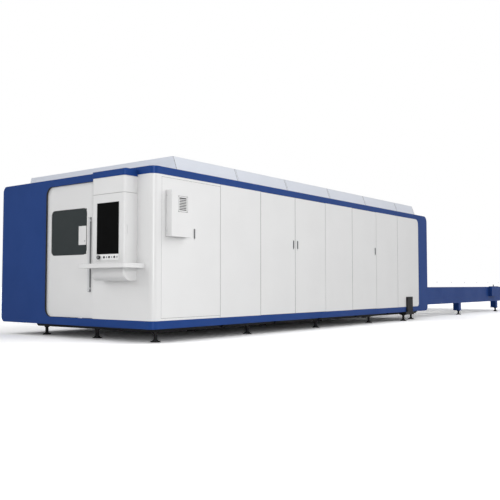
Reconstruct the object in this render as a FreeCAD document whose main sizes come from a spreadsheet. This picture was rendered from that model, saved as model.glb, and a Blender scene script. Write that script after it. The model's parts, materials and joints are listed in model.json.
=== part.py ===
import FreeCAD, Part
import Sketcher
import os
import re

# A fiber laser sheet cutting machine: a closed cabin over a bed with a moving gantry,
# an operator console on its front, and a two level shuttle table behind it.
#
# Machine coordinates, in millimetres: X runs back from the front face, Y runs in from
# the right side face, Z runs up from the floor. Every finished piece is then shifted so
# that the origin lies under the middle of the whole machine.

SIZES = [
    # cabin
    ("cabin_length", 8530), ("cabin_width", 3340), ("cabin_height", 2100),
    ("floor_gap", 190), ("band_height", 100), ("sill_height", 105),
    ("shell_depth", 26), ("skin", 2), ("seam", 8), ("corner_radius", 90),
    ("face_gap", 0.3), ("tube_width", 60), ("floor_depth", 6),
    # columns, ribbons and panels of the shell
    ("rear_column_width", 462), ("column_radius_top", 135), ("column_radius_low", 90),
    ("panel_radius_top", 120), ("panel_radius_low", 80), ("horn_length", 120),
    ("front_panel_start", 2238), ("front_panel_radius", 90), ("front_notch_radius", 130),
    ("seam_1", 1323), ("seam_2", 2283), ("seam_3", 3229), ("seam_4", 4178),
    ("seam_5", 5129), ("seam_6", 6083), ("seam_7", 7033),
    ("left_panel_pitch", 992),
    # doors of the right side
    ("cabinet_door_start", 150), ("cabinet_margin", 30), ("door_depth", 22),
    ("door_clearance", 3), ("pin_inset", 9), ("pin_radius", 4), ("pin_height", 15),
    ("bore_clearance", 0.05), ("handle_height", 128), ("handle_width", 14),
    ("handle_depth", 12), ("handle_inset", 54), ("handle_low", 1350),
    ("cabinet_handle_start", 766), ("cabinet_handle_low", 1386),
    # cooler on the cabinet door
    ("cooler_start", 225), ("cooler_width", 377), ("cooler_depth", 106),
    ("cooler_drop", 200), ("cooler_height", 605), ("vent_start", 344),
    ("vent_width", 182), ("vent_rise", 327), ("vent_height", 210), ("vent_frame", 22),
    ("louvre_height", 9), ("louvre_pitch", 21), ("fan_radius", 72), ("fan_depth", 24),
    ("fan_hub_radius", 22), ("fan_motor_radius", 20),
    ("fan_shaft_radius", 4), ("fan_gap", 3), ("duct_height", 110),
    # front sliding door
    ("slide_door_start", 1170), ("slide_door_setback", 4), ("slide_door_depth", 30),
    ("slide_door_gap", 5), ("slide_door_overlap", 40), ("window_start", 1350),
    ("window_width", 782), ("window_drop", 364), ("window_height", 640),
    ("window_radius", 65), ("window_lap", 15), ("glass_depth", 8),
    ("bar_start", 1250), ("bar_width", 28), ("bar_low", 665), ("bar_height", 1025),
    ("bar_depth", 16), ("bar_standoff", 22), ("lock_gap", 3), ("lock_width", 164),
    ("lock_rise", 131), ("lock_height", 265), ("lock_depth", 3),
    ("rail_head", 24), ("rail_web", 8), ("rail_rise", 13), ("shoe_length", 120),
    ("shoe_inset", 140),
    # console
    ("console_start", 299), ("console_width", 640), ("console_depth", 223),
    ("console_foot_height", 267), ("console_head_height", 218), ("console_wall", 3),
    ("console_seam", 4), ("console_radius", 38), ("console_foot_radius", 110),
    ("crown_drop", 24), ("crown_height", 91), ("crown_lip", 5), ("crown_radius", 24),
    ("screen_start", 395), ("screen_width", 431), ("screen_drop", 118),
    ("screen_height", 674), ("screen_depth", 45), ("button_panel_height", 79),
    ("button_panel_depth", 5), ("button_radius", 11), ("button_length", 26),
    ("button_proud", 7), ("button_clearance", 0.25), ("button_first", 480),
    ("button_pitch", 50), ("lamp_radius", 8), ("stop_radius", 26), ("stop_place", 775),
    ("stop_stem_radius", 10), ("stop_head_depth", 16), ("stop_gap", 9),
    ("tray_start", 147), ("tray_width", 893), ("tray_reach", 370), ("tray_drop", 102),
    ("tray_height", 57), ("tray_radius", 35),
    # roof
    ("roof_start", 440), ("roof_end", 7940), ("roof_height", 190), ("roof_lean", 70),
    ("roof_setback", 20), ("roof_gap", 4), ("deck_depth", 20), ("deck_width", 150),
    ("roof_joint_1", 1320), ("roof_joint_2", 2610), ("roof_joint_3", 3940),
    ("roof_joint_4", 5270), ("roof_joint_5", 6640),
    # bed, rails and gantry
    ("bed_start", 1400), ("bed_length", 6900), ("bed_inset", 200), ("bed_beam_width", 200),
    ("bed_beam_top", 900), ("bed_beam_low", 190), ("bed_cross_height", 60),
    ("bed_wall", 16), ("gantry_rail_width", 34), ("gantry_rail_height", 35),
    ("rack_width", 30), ("rack_height", 30), ("gantry_place", 1700), ("gantry_depth", 300),
    ("gantry_height", 300), ("gantry_wall", 12), ("saddle_length", 420),
    ("saddle_height", 45), ("cross_rail_height", 26), ("carriage_width", 320),
    ("carriage_depth", 35), ("carriage_place", 520), ("head_radius", 42),
    ("head_length", 330), ("nozzle_length", 70), ("nozzle_radius", 7), ("nozzle_rise", 180),
    # pallets and shuttle table
    ("pallet_start", 2100), ("pallet_length", 6100), ("pallet_travel", 6750),
    ("pallet_beam_width", 60), ("pallet_beam_height", 90), ("pallet_slat_width", 6),
    ("pallet_slat_height", 80), ("pallet_slat_pitch", 150), ("tooth_height", 20),
    ("work_height", 700),
    ("level_gap", 230), ("runner_width", 74), ("runner_height", 12), ("runner_gap", 6),
    ("table_length", 6750), ("table_inset", 250), ("table_beam_width", 150),
    ("table_drop", 400), ("lower_beam_height", 160), ("upper_beam_height", 243),
    ("leg_width", 153), ("leg_low", 108), ("leg_1", 11061), ("leg_2", 13914),
    ("leg_plate_height", 12), ("leg_plate_lip", 14), ("leg_foot_inset", 42),
    ("tie_height", 8), ("cover_start", 13347), ("cover_length", 560), ("cover_rise", 145),
    ("cover_height", 275), ("cover_depth", 90),
    # underframe, feet and side bracket
    ("underframe_height", 60), ("underframe_beam", 80), ("underframe_start", 290),
    ("underframe_side", 180), ("underframe_width", 2680), ("underframe_pitch", 1340),
    ("underframe_taper", 55), ("foot_radius", 68), ("foot_height", 24),
    ("stud_radius", 23), ("foot_row_1", 285), ("foot_row_2", 1458), ("foot_row_3", 2630),
    ("foot_first", 330), ("foot_pitch", 1982.5), ("bracket_start", 7420),
    ("bracket_width", 265), ("bracket_depth", 30), ("bracket_top", 506),
    ("base_start", 7340), ("base_length", 400), ("base_depth", 150), ("base_foot", 7400),
    ("base_foot_side", 60),
    # equipment in the front of the cabin
    ("source_start", 200), ("source_length", 760), ("source_inset", 420),
    ("source_width", 620), ("source_height", 820), ("plate_start", 180),
    ("plate_length", 1080), ("plate_inset", 300), ("module_width", 160),
    ("module_pitch", 210), ("module_height", 330), ("module_depth", 140),
]

NAMES = {name for name, _ in SIZES}
LEFT_PANEL_COUNT = 7
SLAT_COUNT = 39
BUTTON_COUNT = 3
LAMP_COUNT = 3
LOUVRE_COUNT = 8
BLADE_COUNT = 5
MODULE_COUNT = 5
FOOT_COUNT = 5
CROSSBAR_COUNT = 7

# Levels and faces that many pieces share, written with the names of the sheet.
CABIN_TOP = "(floor_gap + cabin_height)"
SILL_TOP = "(floor_gap + sill_height)"
BAND_LOW = "(floor_gap + cabin_height - band_height)"
COLUMN_START = "(cabin_length - rear_column_width)"
POST_FACE = "(shell_depth + face_gap)"
LEFT_FACE = "(cabin_width - shell_depth)"
LEFT_POST = "(cabin_width - shell_depth - face_gap - tube_width)"
CABINET_END = "(seam_1 - seam / 2)"
TABLE_END = "(cabin_length + table_length)"
TABLE_LOW = "(work_height - table_drop)"
TABLE_SEAM = f"({TABLE_LOW} + lower_beam_height)"
TABLE_TOP = f"({TABLE_SEAM} + upper_beam_height)"
COVER_LOW = f"({TABLE_LOW} + cover_rise)"
NOZZLE_TIP = "(work_height + nozzle_rise)"
SLIDE_FACE = "(shell_depth + slide_door_setback)"
TABLE_FAR = "(cabin_width - table_inset)"
BED_FAR = "(cabin_width - bed_inset)"
BED_INNER = "(bed_inset + bed_beam_width)"
BED_END = "(bed_start + bed_length)"
RAIL_TOP = "(bed_beam_top + gantry_rail_height)"
GANTRY_LOW = "(bed_beam_top + gantry_rail_height + face_gap + saddle_height)"
UNDERFRAME_LOW = "(floor_gap - underframe_height)"
PALLET_SIDE = f"({BED_INNER} + runner_width + runner_gap)"
PALLET_FAR = f"(cabin_width - {PALLET_SIDE})"
PALLET_TOP = "(work_height - 3 * pallet_slat_height / 4)"
WINDOW_LOW = f"({BAND_LOW} - window_drop - window_height)"
COOLER_LOW = f"({BAND_LOW} - cooler_drop - cooler_height)"
VENT_LOW = f"({COOLER_LOW} + vent_rise)"
RAIL_LOW = f"({BAND_LOW} + rail_rise)"
LOCK_LOW = f"({WINDOW_LOW} + lock_rise)"
CROWN_LOW = f"({BAND_LOW} - crown_drop)"
CONSOLE_SPLIT = f"({CROWN_LOW} - console_head_height)"
SCREEN_LOW = f"({CONSOLE_SPLIT} - screen_drop - screen_height)"
PANEL_LOW = f"({SCREEN_LOW} - button_panel_height)"
CONSOLE_LOW = f"({PANEL_LOW} - console_foot_height)"
TRAY_LOW = f"({PANEL_LOW} - tray_drop)"
TURNS = {
    "X": FreeCAD.Rotation(FreeCAD.Vector(0, 1, 0), 90),
    "Y": FreeCAD.Rotation(FreeCAD.Vector(1, 0, 0), -90),
    "Z": FreeCAD.Rotation(),
}
PLANES = {"X": "YZ_Plane", "Y": "XZ_Plane", "Z": "XY_Plane"}
SHIFT = {
    "x": f"(tray_reach - {TABLE_END}) / 2",
    "y": "(cooler_depth - cabin_width) / 2",
}

doc = FreeCAD.newDocument("laser_cutting_machine")
sheet = doc.addObject("Spreadsheet::Sheet", "Sizes")
nodes = []


def fill_sheet():
    """Write each driving size into the sheet as a named cell."""
    for row, (name, value) in enumerate(SIZES, start=1):
        sheet.set(f"A{row}", name)
        sheet.set(f"B{row}", str(value))
        sheet.setAlias(f"B{row}", name)
    doc.recompute()


def linked(text):
    """Point every size name in an expression at its cell in the sheet."""
    return re.sub(r"[a-z][a-z_0-9]*", lambda word: (
        f"Sizes.{word.group()}" if word.group() in NAMES else word.group()), text)


def bind(item, **fields):
    """Bind properties of an object to expressions."""
    for name, text in fields.items():
        item.setExpression(name, linked(text))


def place(item, x, y, z):
    """Bind the position of an object."""
    for letter, text in zip("xyz", (x, y, z)):
        item.setExpression(f"Placement.Base.{letter}", linked(text))


def block(x, y, z):
    """A box between two faces along each axis."""
    item = doc.addObject("Part::Box", "block")
    bind(item, Length=f"{x[1]} - ({x[0]})", Width=f"{y[1]} - ({y[0]})",
         Height=f"{z[1]} - ({z[0]})")
    place(item, x[0], y[0], z[0])
    return item


def rod(centre, radius, length, axis="Z"):
    """A cylinder that starts at a point and runs along an axis."""
    item = doc.addObject("Part::Cylinder", "rod")
    item.Placement.Rotation = TURNS[axis]
    bind(item, Radius=radius, Height=length)
    place(item, *centre)
    return item


def cone(centre, low_radius, high_radius, length):
    """An upright cone that starts at a point."""
    item = doc.addObject("Part::Cone", "cone")
    bind(item, Radius1=low_radius, Radius2=high_radius, Height=length)
    place(item, *centre)
    return item


def wedge(x, low, high, z):
    """A bar along X whose Y span narrows from a low level to a high one."""
    item = doc.addObject("Part::Wedge", "wedge")
    item.Placement.Rotation = FreeCAD.Rotation(FreeCAD.Vector(1, 0, 0), 90)
    bind(item, Xmin="0", X2min="0", Xmax=f"{x[1]} - ({x[0]})", X2max=f"{x[1]} - ({x[0]})",
         Ymin="0", Ymax=f"{z[1]} - ({z[0]})", Zmin=f"-({low[1]})", Zmax=f"-({low[0]})",
         Z2min=f"-({high[1]})", Z2max=f"-({high[0]})")
    place(item, x[0], "0", z[0])
    return item


def fuse(*items):
    """One solid made of touching or crossing ones."""
    item = doc.addObject("Part::MultiFuse", "fuse")
    item.Shapes = list(items)
    item.Refine = True
    return item


def cut(base, *tools):
    """A solid less its cutting tools."""
    item = doc.addObject("Part::Cut", "cut")
    item.Base = base
    item.Tool = tools[0] if len(tools) == 1 else group(*tools)
    return item


def common(first, second):
    """What two solids share."""
    item = doc.addObject("Part::Common", "common")
    item.Base = first
    item.Tool = second
    return item


def group(*items):
    """Separate solids kept as one object."""
    item = doc.addObject("Part::Compound", "group")
    item.Links = list(items)
    return item


def pan(x, y, z, outside):
    """A folded sheet tray: one skin on the named side with a return on each edge."""
    span = {"X": list(x), "Y": list(y), "Z": list(z)}
    inner = {key: [f"{low} + skin", f"{high} - skin"] for key, (low, high) in span.items()}
    axis = outside[1]
    if outside[0] == "-":
        inner[axis] = [f"{span[axis][0]} + skin", f"{span[axis][1]} + skin"]
    else:
        inner[axis] = [f"{span[axis][0]} - skin", f"{span[axis][1]} - skin"]
    return cut(block(x, y, z), block(inner["X"], inner["Y"], inner["Z"]))


def origin_plane(body, role):
    """The plane of a body's own origin that has the given role."""
    return next(item for item in body.Origin.OriginFeatures if item.Role == role)


def rectangle_sketch(body, plane, across, upward):
    """A rectangle from the sketch's origin, with its two sizes bound."""
    sketch = body.newObject("Sketcher::SketchObject", "outline")
    sketch.AttachmentSupport = (origin_plane(body, plane), [""])
    sketch.MapMode = "FlatFace"
    corners = [FreeCAD.Vector(*point, 0) for point in ((0, 0), (10, 0), (10, 10), (0, 10))]
    for index in range(4):
        sketch.addGeometry(Part.LineSegment(corners[index], corners[(index + 1) % 4]))
    for index in range(4):
        follower = (index + 1) % 4
        sketch.addConstraint(Sketcher.Constraint("Coincident", index, 2, follower, 1))
    for index, direction in enumerate(("Horizontal", "Vertical", "Horizontal", "Vertical")):
        sketch.addConstraint(Sketcher.Constraint(direction, index))
    sketch.addConstraint(Sketcher.Constraint("Coincident", 0, 1, -1, 1))
    width = sketch.addConstraint(Sketcher.Constraint("DistanceX", 0, 1, 0, 2, 10))
    height = sketch.addConstraint(Sketcher.Constraint("DistanceY", 1, 1, 1, 2, 10))
    sketch.setExpression(f"Constraints[{width}]", linked(across))
    sketch.setExpression(f"Constraints[{height}]", linked(upward))
    return sketch


def edges_along(shape, axis, corners):
    """Names of the straight edges along an axis at the named corners of the bounds."""
    bounds = shape.BoundBox
    lows = (bounds.XMin, bounds.YMin, bounds.ZMin)
    highs = (bounds.XMax, bounds.YMax, bounds.ZMax)
    run = "XYZ".index(axis)
    sides = [index for index in range(3) if index != run]
    found = []
    for number, edge in enumerate(shape.Edges, start=1):
        spans = (edge.BoundBox.XLength, edge.BoundBox.YLength, edge.BoundBox.ZLength)
        if spans[run] < max(spans) - 1e-6 or min(spans[side] for side in sides) > 1e-6:
            continue
        if max(spans[side] for side in sides) > 1e-6:
            continue
        centre = edge.CenterOfGravity
        for corner in corners:
            wanted = [highs[side] if letter == "1" else lows[side]
                      for side, letter in zip(sides, corner)]
            if all(abs(centre[side] - value) < 1e-4 for side, value in zip(sides, wanted)):
                found.append(f"Edge{number}")
    return found


def rounded_block(x, y, z, axis, *rounds):
    """A block with rounded edges along one axis.

    Each round is a pair: the corners it treats, as low or high digits of the two other
    axes, and its radius.
    """
    body = doc.addObject("PartDesign::Body", "body")
    spans = {"X": x, "Y": y, "Z": z}
    lengths = {key: f"{high} - ({low})" for key, (low, high) in spans.items()}
    across, upward = [key for key in "XYZ" if key != axis]
    sketch = rectangle_sketch(body, PLANES[axis], lengths[across], lengths[upward])
    pad = body.newObject("PartDesign::Pad", "pad")
    pad.Profile = sketch
    pad.Reversed = axis == "Y"
    bind(pad, Length=lengths[axis])
    last = pad
    for corners, radius in rounds:
        doc.recompute()
        fillet = body.newObject("PartDesign::Fillet", "rounding")
        fillet.Base = (last, edges_along(last.Shape, axis, corners))
        bind(fillet, Radius=radius)
        last = fillet
    body.Tip = last
    place(body, x[0], y[0], z[0])
    return body


def node(label, item):
    """Register a finished piece under its name and shift it to the machine's origin."""
    item.Label = label
    held = {path.lstrip("."): text for path, text in item.ExpressionEngine}
    for letter, text in SHIFT.items():
        path = f"Placement.Base.{letter}"
        start = held.get(path, "0")
        item.setExpression(path, f"{start} + {linked(text)}")
    nodes.append(item)


def far_side(y):
    """A Y span mirrored about the cabin's long middle plane."""
    return (f"cabin_width - ({y[1]})", f"cabin_width - ({y[0]})")


def build_underframe():
    """Crossbars with tapered ends, tied by long beams that butt between them."""
    z = (UNDERFRAME_LOW, "floor_gap")
    y = ("underframe_side", "underframe_side + underframe_width")
    low = (f"{y[0]} + underframe_taper", f"{y[1]} - underframe_taper")
    pieces = []
    for index in range(CROSSBAR_COUNT):
        start = f"underframe_start + {index} * underframe_pitch"
        pieces.append(wedge((start, f"{start} + underframe_beam"), low, y, z))
        if index == CROSSBAR_COUNT - 1:
            continue
        span = (f"{start} + underframe_beam", f"{start} + underframe_pitch")
        for row in ("foot_row_1", "foot_row_2", "foot_row_3"):
            half = "underframe_beam / 2"
            pieces.append(block(span, (f"{row} - {half}", f"{row} + {half}"), z))
    node("underframe", group(*pieces))


def foot_places():
    """Centre of each levelling foot, with the level that its stud meets."""
    places = []
    for row in ("foot_row_1", "foot_row_2", "foot_row_3"):
        for index in range(FOOT_COUNT):
            places.append((f"foot_first + {index} * foot_pitch", row, UNDERFRAME_LOW))
    places.append(("base_foot", "base_foot_side", UNDERFRAME_LOW))
    for leg in ("leg_1", "leg_2"):
        for side in ("table_inset + leg_foot_inset", f"{TABLE_FAR} - leg_foot_inset"):
            places.append((f"{leg} + leg_width / 2", side, "leg_low"))
    return places


def build_feet():
    """A tapered pad and a stud at every foot."""
    pads, studs = [], []
    for x, y, level in foot_places():
        pads.append(fuse(rod((x, y, "0"), "foot_radius", "foot_height / 2"),
                         cone((x, y, "foot_height / 2"), "foot_radius",
                              "foot_radius / 2", "foot_height / 2")))
        studs.append(rod((x, y, "foot_height"), "stud_radius", f"{level} - foot_height"))
    node("foot_pads", group(*pads))
    node("foot_studs", group(*studs))


def build_side_bracket():
    """The black post against the right sill, standing on a block that has its own foot."""
    low = "(floor_gap - face_gap)"
    post = block(("bracket_start", "bracket_start + bracket_width"),
                 ("-bracket_depth", "-face_gap"), (low, "bracket_top"))
    hollow = block(("bracket_start + skin", "bracket_start + bracket_width - skin"),
                   ("skin - bracket_depth", "-face_gap - skin"),
                   (f"{low} + skin", "bracket_top - skin"))
    base = block(("base_start", "base_start + base_length"),
                 ("-bracket_depth", "base_depth - bracket_depth"), (UNDERFRAME_LOW, low))
    node("side_bracket", fuse(cut(post, hollow), base))


def build_bed():
    """Two tall box beams joined by low cross beams, and the rails on top of them."""
    x = ("bed_start", BED_END)
    pieces = []
    for mirrored in (False, True):
        y = ("bed_inset", BED_INNER)
        inner = ("bed_inset + bed_wall", f"{BED_INNER} - bed_wall")
        if mirrored:
            y, inner = far_side(y), far_side(inner)
        tube = block(x, y, ("bed_beam_low", "bed_beam_top"))
        hollow = block(x, inner, ("bed_beam_low + bed_wall", "bed_beam_top - bed_wall"))
        pieces.append(cut(tube, hollow))
    for share in ("0", "1 / 4", "2 / 4", "3 / 4", "1"):
        start = f"bed_start + {share} * (bed_length - bed_beam_width)"
        pieces.append(block((start, f"{start} + bed_beam_width"),
                            (BED_INNER, f"cabin_width - {BED_INNER}"),
                            ("bed_beam_low", "bed_beam_low + bed_cross_height")))
    node("bed_frame", group(*pieces))
    middle = "(bed_inset + bed_beam_width / 2)"
    rail = (f"{middle} - gantry_rail_width / 2", f"{middle} + gantry_rail_width / 2")
    level = ("bed_beam_top", RAIL_TOP)
    node("gantry_rails", group(block(x, rail, level), block(x, far_side(rail), level)))
    rack = ("bed_inset", "bed_inset + rack_width")
    level = ("bed_beam_top", "bed_beam_top + rack_height")
    node("gantry_racks", group(block(x, rack, level), block(x, far_side(rack), level)))


def build_pallet_rails():
    """Flat runners for both pallet levels, on the bed beams and on the table beams."""
    pieces = []
    spans = ((("bed_start", BED_END), BED_INNER),
             (("cabin_length", f"{TABLE_END} - table_beam_width"),
              "(table_inset + table_beam_width)"))
    for x, face in spans:
        y = (face, f"{BED_INNER} + runner_width")
        for drop in ("0", "level_gap"):
            top = f"({PALLET_TOP} - pallet_beam_height - {drop})"
            z = (f"{top} - runner_height", top)
            pieces += [block(x, y, z), block(x, far_side(y), z)]
    node("pallet_rails", group(*pieces))


def build_pallet(label, start, drop):
    """A welded pallet: two long beams with lips on the runners, end beams and slats.

    The slats stop short of the work height by the teeth that stand on them.
    """
    top = f"({PALLET_TOP} - {drop})"
    low = f"({top} - pallet_beam_height)"
    end = f"({start} + pallet_length)"
    lip = f"({BED_INNER} + runner_gap)"
    side = (PALLET_SIDE, f"{PALLET_SIDE} + pallet_beam_width")
    shoe = (lip, f"{PALLET_SIDE} + pallet_beam_width / 2")
    pieces = []
    for span in (side, far_side(side)):
        pieces.append(block((start, end), span, (low, top)))
    for span in (shoe, far_side(shoe)):
        pieces.append(block((start, end), span, (f"{low} + face_gap",
                                                 f"{low} + face_gap + runner_height")))
    across = (f"{PALLET_SIDE} + pallet_beam_width / 2",
              f"{PALLET_FAR} - pallet_beam_width / 2")
    for begin in (start, f"{end} - pallet_beam_width"):
        pieces.append(block((begin, f"{begin} + pallet_beam_width"), across, (low, top)))
    for index in range(SLAT_COUNT):
        begin = f"({start} + {index + 1} * pallet_slat_pitch)"
        height = (f"{top} - pallet_slat_height / 4",
                  f"{top} + 3 * pallet_slat_height / 4 - tooth_height")
        pieces.append(block((begin, f"{begin} + pallet_slat_width"), across, height))
    node(label, fuse(*pieces))


def build_table():
    """The two level shuttle table: stacked side beams, cross beams, legs and its drive."""
    x = ("cabin_length", TABLE_END)
    y = ("table_inset", "table_inset + table_beam_width")
    beams = []
    for z in ((TABLE_LOW, TABLE_SEAM), (TABLE_SEAM, TABLE_TOP)):
        beams += [block(x, y, z), block(x, far_side(y), z)]
    node("table_beams", group(*beams))
    legs = []
    between = (y[1], far_side(y)[0])
    plate_top = "(leg_low + leg_plate_height)"
    for leg in ("leg_1", "leg_2"):
        x = (leg, f"{leg} + leg_width")
        plate_x = (f"{x[0]} - leg_plate_lip", f"{x[1]} + leg_plate_lip")
        plate_y = (f"{y[0]} - leg_plate_lip", f"{y[1]} + leg_plate_lip")
        for span, plate_span in ((y, plate_y), (far_side(y), far_side(plate_y))):
            legs.append(block(plate_x, plate_span, ("leg_low", plate_top)))
            legs.append(block(x, span, (plate_top, TABLE_LOW)))
        legs.append(block(x, between, (TABLE_LOW, f"{TABLE_LOW} + tie_height")))
    end = (f"{TABLE_END} - table_beam_width", TABLE_END)
    legs.append(block(end, between, (TABLE_LOW, TABLE_SEAM)))
    node("table_legs", group(*legs))
    x = ("cover_start", "cover_start + cover_length")
    y = ("table_inset - cover_depth", "table_inset")
    node("drive_cover", pan(x, y, (COVER_LOW, f"{COVER_LOW} + cover_height"), "-Y"))


def post_places():
    """X position of the middle of every upright on the right side."""
    return ["seam_1", "seam_2", "seam_3", "seam_4", "seam_5", "seam_6", "seam_7",
            COLUMN_START]


def build_frame():
    """Square uprights behind the seams, top tubes, ties to the bed and a front floor."""
    half = "tube_width / 2"
    z = ("floor_gap", f"{CABIN_TOP} - deck_depth - tube_width")
    top = (z[1], f"{CABIN_TOP} - deck_depth")
    right = (POST_FACE, f"{POST_FACE} + tube_width")
    left = far_side(right)
    front = (f"2 * {SLIDE_FACE} + {half}", f"2 * {SLIDE_FACE} + {half} + tube_width")
    back = (f"cabin_length - {POST_FACE} - tube_width", f"cabin_length - {POST_FACE}")
    pieces = []
    for place_x in post_places():
        x = (f"{place_x} - {half}", f"{place_x} + {half}")
        pieces += [block(x, right, z), block(x, left, z)]
    for x in (front, back):
        pieces += [block(x, right, z), block(x, left, z)]
        pieces.append(block(x, (right[1], left[0]), top))
    low = ("floor_gap", "floor_gap + tube_width")
    for y in (right, left):
        pieces.append(block((front[0], back[1]), y, top))
    ties = ("seam_2", "seam_4", "seam_6")
    for place_x in ties:
        x = (f"{place_x} - {half}", f"{place_x} + {half}")
        for y in ((right[1], "bed_inset"), (BED_FAR, left[0])):
            pieces.append(block(x, y, low))
    pieces.append(block(front, (right[1], left[0]), low))
    pieces.append(block((front[1], "bed_start - seam"), (right[1], "foot_row_2 + tube_width"),
                        ("floor_gap", "floor_gap + floor_depth")))
    node("enclosure_frame", group(*pieces))


def corner_ring(x_end, y_end, z):
    """A ribbon that turns the front right corner, with arms along both faces."""
    long_x, long_y = f"{x_end} + corner_radius", f"{y_end} + corner_radius"
    outer = rounded_block(("0", long_x), ("0", long_y), z, "Z", (("00",), "corner_radius"))
    inner = rounded_block(("shell_depth", f"{long_x} + skin"),
                          ("shell_depth", f"{long_y} + skin"), z, "Z",
                          (("00",), "corner_radius - shell_depth"))
    return common(cut(outer, inner), block(("0", x_end), ("0", y_end), z))


def build_ribbons():
    """The blue ribbons above and below the panels, and the columns that close them."""
    band = (BAND_LOW, CABIN_TOP)
    sill = ("floor_gap", SILL_TOP)
    horn = f"{COLUMN_START} - horn_length"
    left = (LEFT_FACE, "cabin_width")
    pieces = [corner_ring(horn, "corner_radius", band),
              corner_ring(horn, "corner_radius", sill),
              block(("shell_depth", horn), left, band),
              block(("shell_depth", horn), left, sill)]
    horn_y = "(front_panel_start - horn_length)"
    y = ("corner_radius", horn_y)
    x = ("0", "shell_depth")
    node("ribbons", group(*pieces, block(x, y, band), block(x, y, sill)))
    columns = []
    for y in (("0", "shell_depth"), left):
        plate = rounded_block((horn, "cabin_length"), y, ("floor_gap", CABIN_TOP), "Y",
                              (("11",), "column_radius_top"), (("10",), "column_radius_low"))
        notch = rounded_block((f"{horn} - corner_radius", COLUMN_START),
                              (f"{y[0]} - skin", f"{y[1]} + skin"), (SILL_TOP, BAND_LOW),
                              "Y", (("11",), "panel_radius_top"),
                              (("10",), "panel_radius_low"))
        columns.append(cut(plate, notch))
    node("rear_columns", group(*columns))
    panel = rounded_block(x, (horn_y, "cabin_width"), ("floor_gap", CABIN_TOP),
                          "X", (("10", "11"), "front_panel_radius"))
    notch = rounded_block(("-skin", "shell_depth + skin"),
                          (f"{horn_y} - corner_radius", "front_panel_start"),
                          (SILL_TOP, BAND_LOW), "X", (("10", "11"), "front_notch_radius"))
    inside = block(("skin", "shell_depth + skin"),
                   ("front_panel_start + skin", "cabin_width - shell_depth"),
                   (SILL_TOP, BAND_LOW))
    node("front_side_panel", cut(panel, notch, inside))


def end_panel(start, y, outside):
    """The last panel of a side, with the column's round corners, hollow from inside."""
    z = (f"{SILL_TOP} + face_gap", f"{BAND_LOW} - face_gap")
    form = rounded_block((start, f"{COLUMN_START} - seam"), y, z, "Y",
                         (("11",), "panel_radius_top - seam"),
                         (("10",), "panel_radius_low - seam"))
    inside = {"-Y": (f"{y[0]} + skin", f"{y[1]} + skin"),
              "+Y": (f"{y[0]} - skin", f"{y[1]} - skin")}[outside]
    hollow = block((f"{start} + skin", f"{COLUMN_START} - panel_radius_top"), inside,
                   (f"{z[0]} + skin", f"{z[1]} - skin"))
    return cut(form, hollow)


def build_walls():
    """White panels of the shell that don't move."""
    z = (SILL_TOP, BAND_LOW)
    node("corner_post", corner_ring("corner_radius", "corner_radius", z))
    node("front_wall", pan(("0", "shell_depth"),
                           ("corner_radius", "slide_door_start"), z, "-X"))
    y = ("0", "shell_depth")
    stile = block(("corner_radius", "cabinet_door_start - door_clearance"), y, z)
    rails = [block(("cabinet_door_start - door_clearance", CABINET_END), y, span)
             for span in ((SILL_TOP, f"{SILL_TOP} + cabinet_margin"),
                          (f"{BAND_LOW} - cabinet_margin", BAND_LOW))]
    node("cabinet_frame", group(stile, *rails))
    fixed = []
    for low, high in (("seam_1", "seam_2"), ("seam_4", "seam_5"), ("seam_6", "seam_7")):
        fixed.append(pan((f"{low} + seam / 2", f"{high} - seam / 2"), y, z, "-Y"))
    node("right_panels", group(*fixed, end_panel("seam_7 + seam / 2", y, "-Y")))
    left = []
    for index in range(LEFT_PANEL_COUNT):
        start = f"corner_radius + {index} * left_panel_pitch"
        left.append(pan((start, f"{start} + left_panel_pitch - seam"),
                        (LEFT_FACE, "cabin_width"), z, "+Y"))
    start = f"corner_radius + {LEFT_PANEL_COUNT} * left_panel_pitch"
    left.append(end_panel(start, (LEFT_FACE, "cabin_width"), "+Y"))
    node("left_panels", group(*left))


def build_rear_wall():
    """Rear panels that frame the pallet opening."""
    x = ("cabin_length - shell_depth", "cabin_length")
    inner = (BED_INNER, f"cabin_width - {BED_INNER}")
    head = "(bed_beam_top + gantry_rail_height)"
    top = f"{CABIN_TOP} - column_radius_top"
    pieces = [pan(x, (f"{POST_FACE} + face_gap", inner[0]), (TABLE_LOW, top), "+X"),
              pan(x, (inner[1], f"{LEFT_FACE} - face_gap"), (TABLE_LOW, top), "+X"),
              pan(x, inner, (head, top), "+X")]
    node("rear_panels", group(*pieces))


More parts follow.
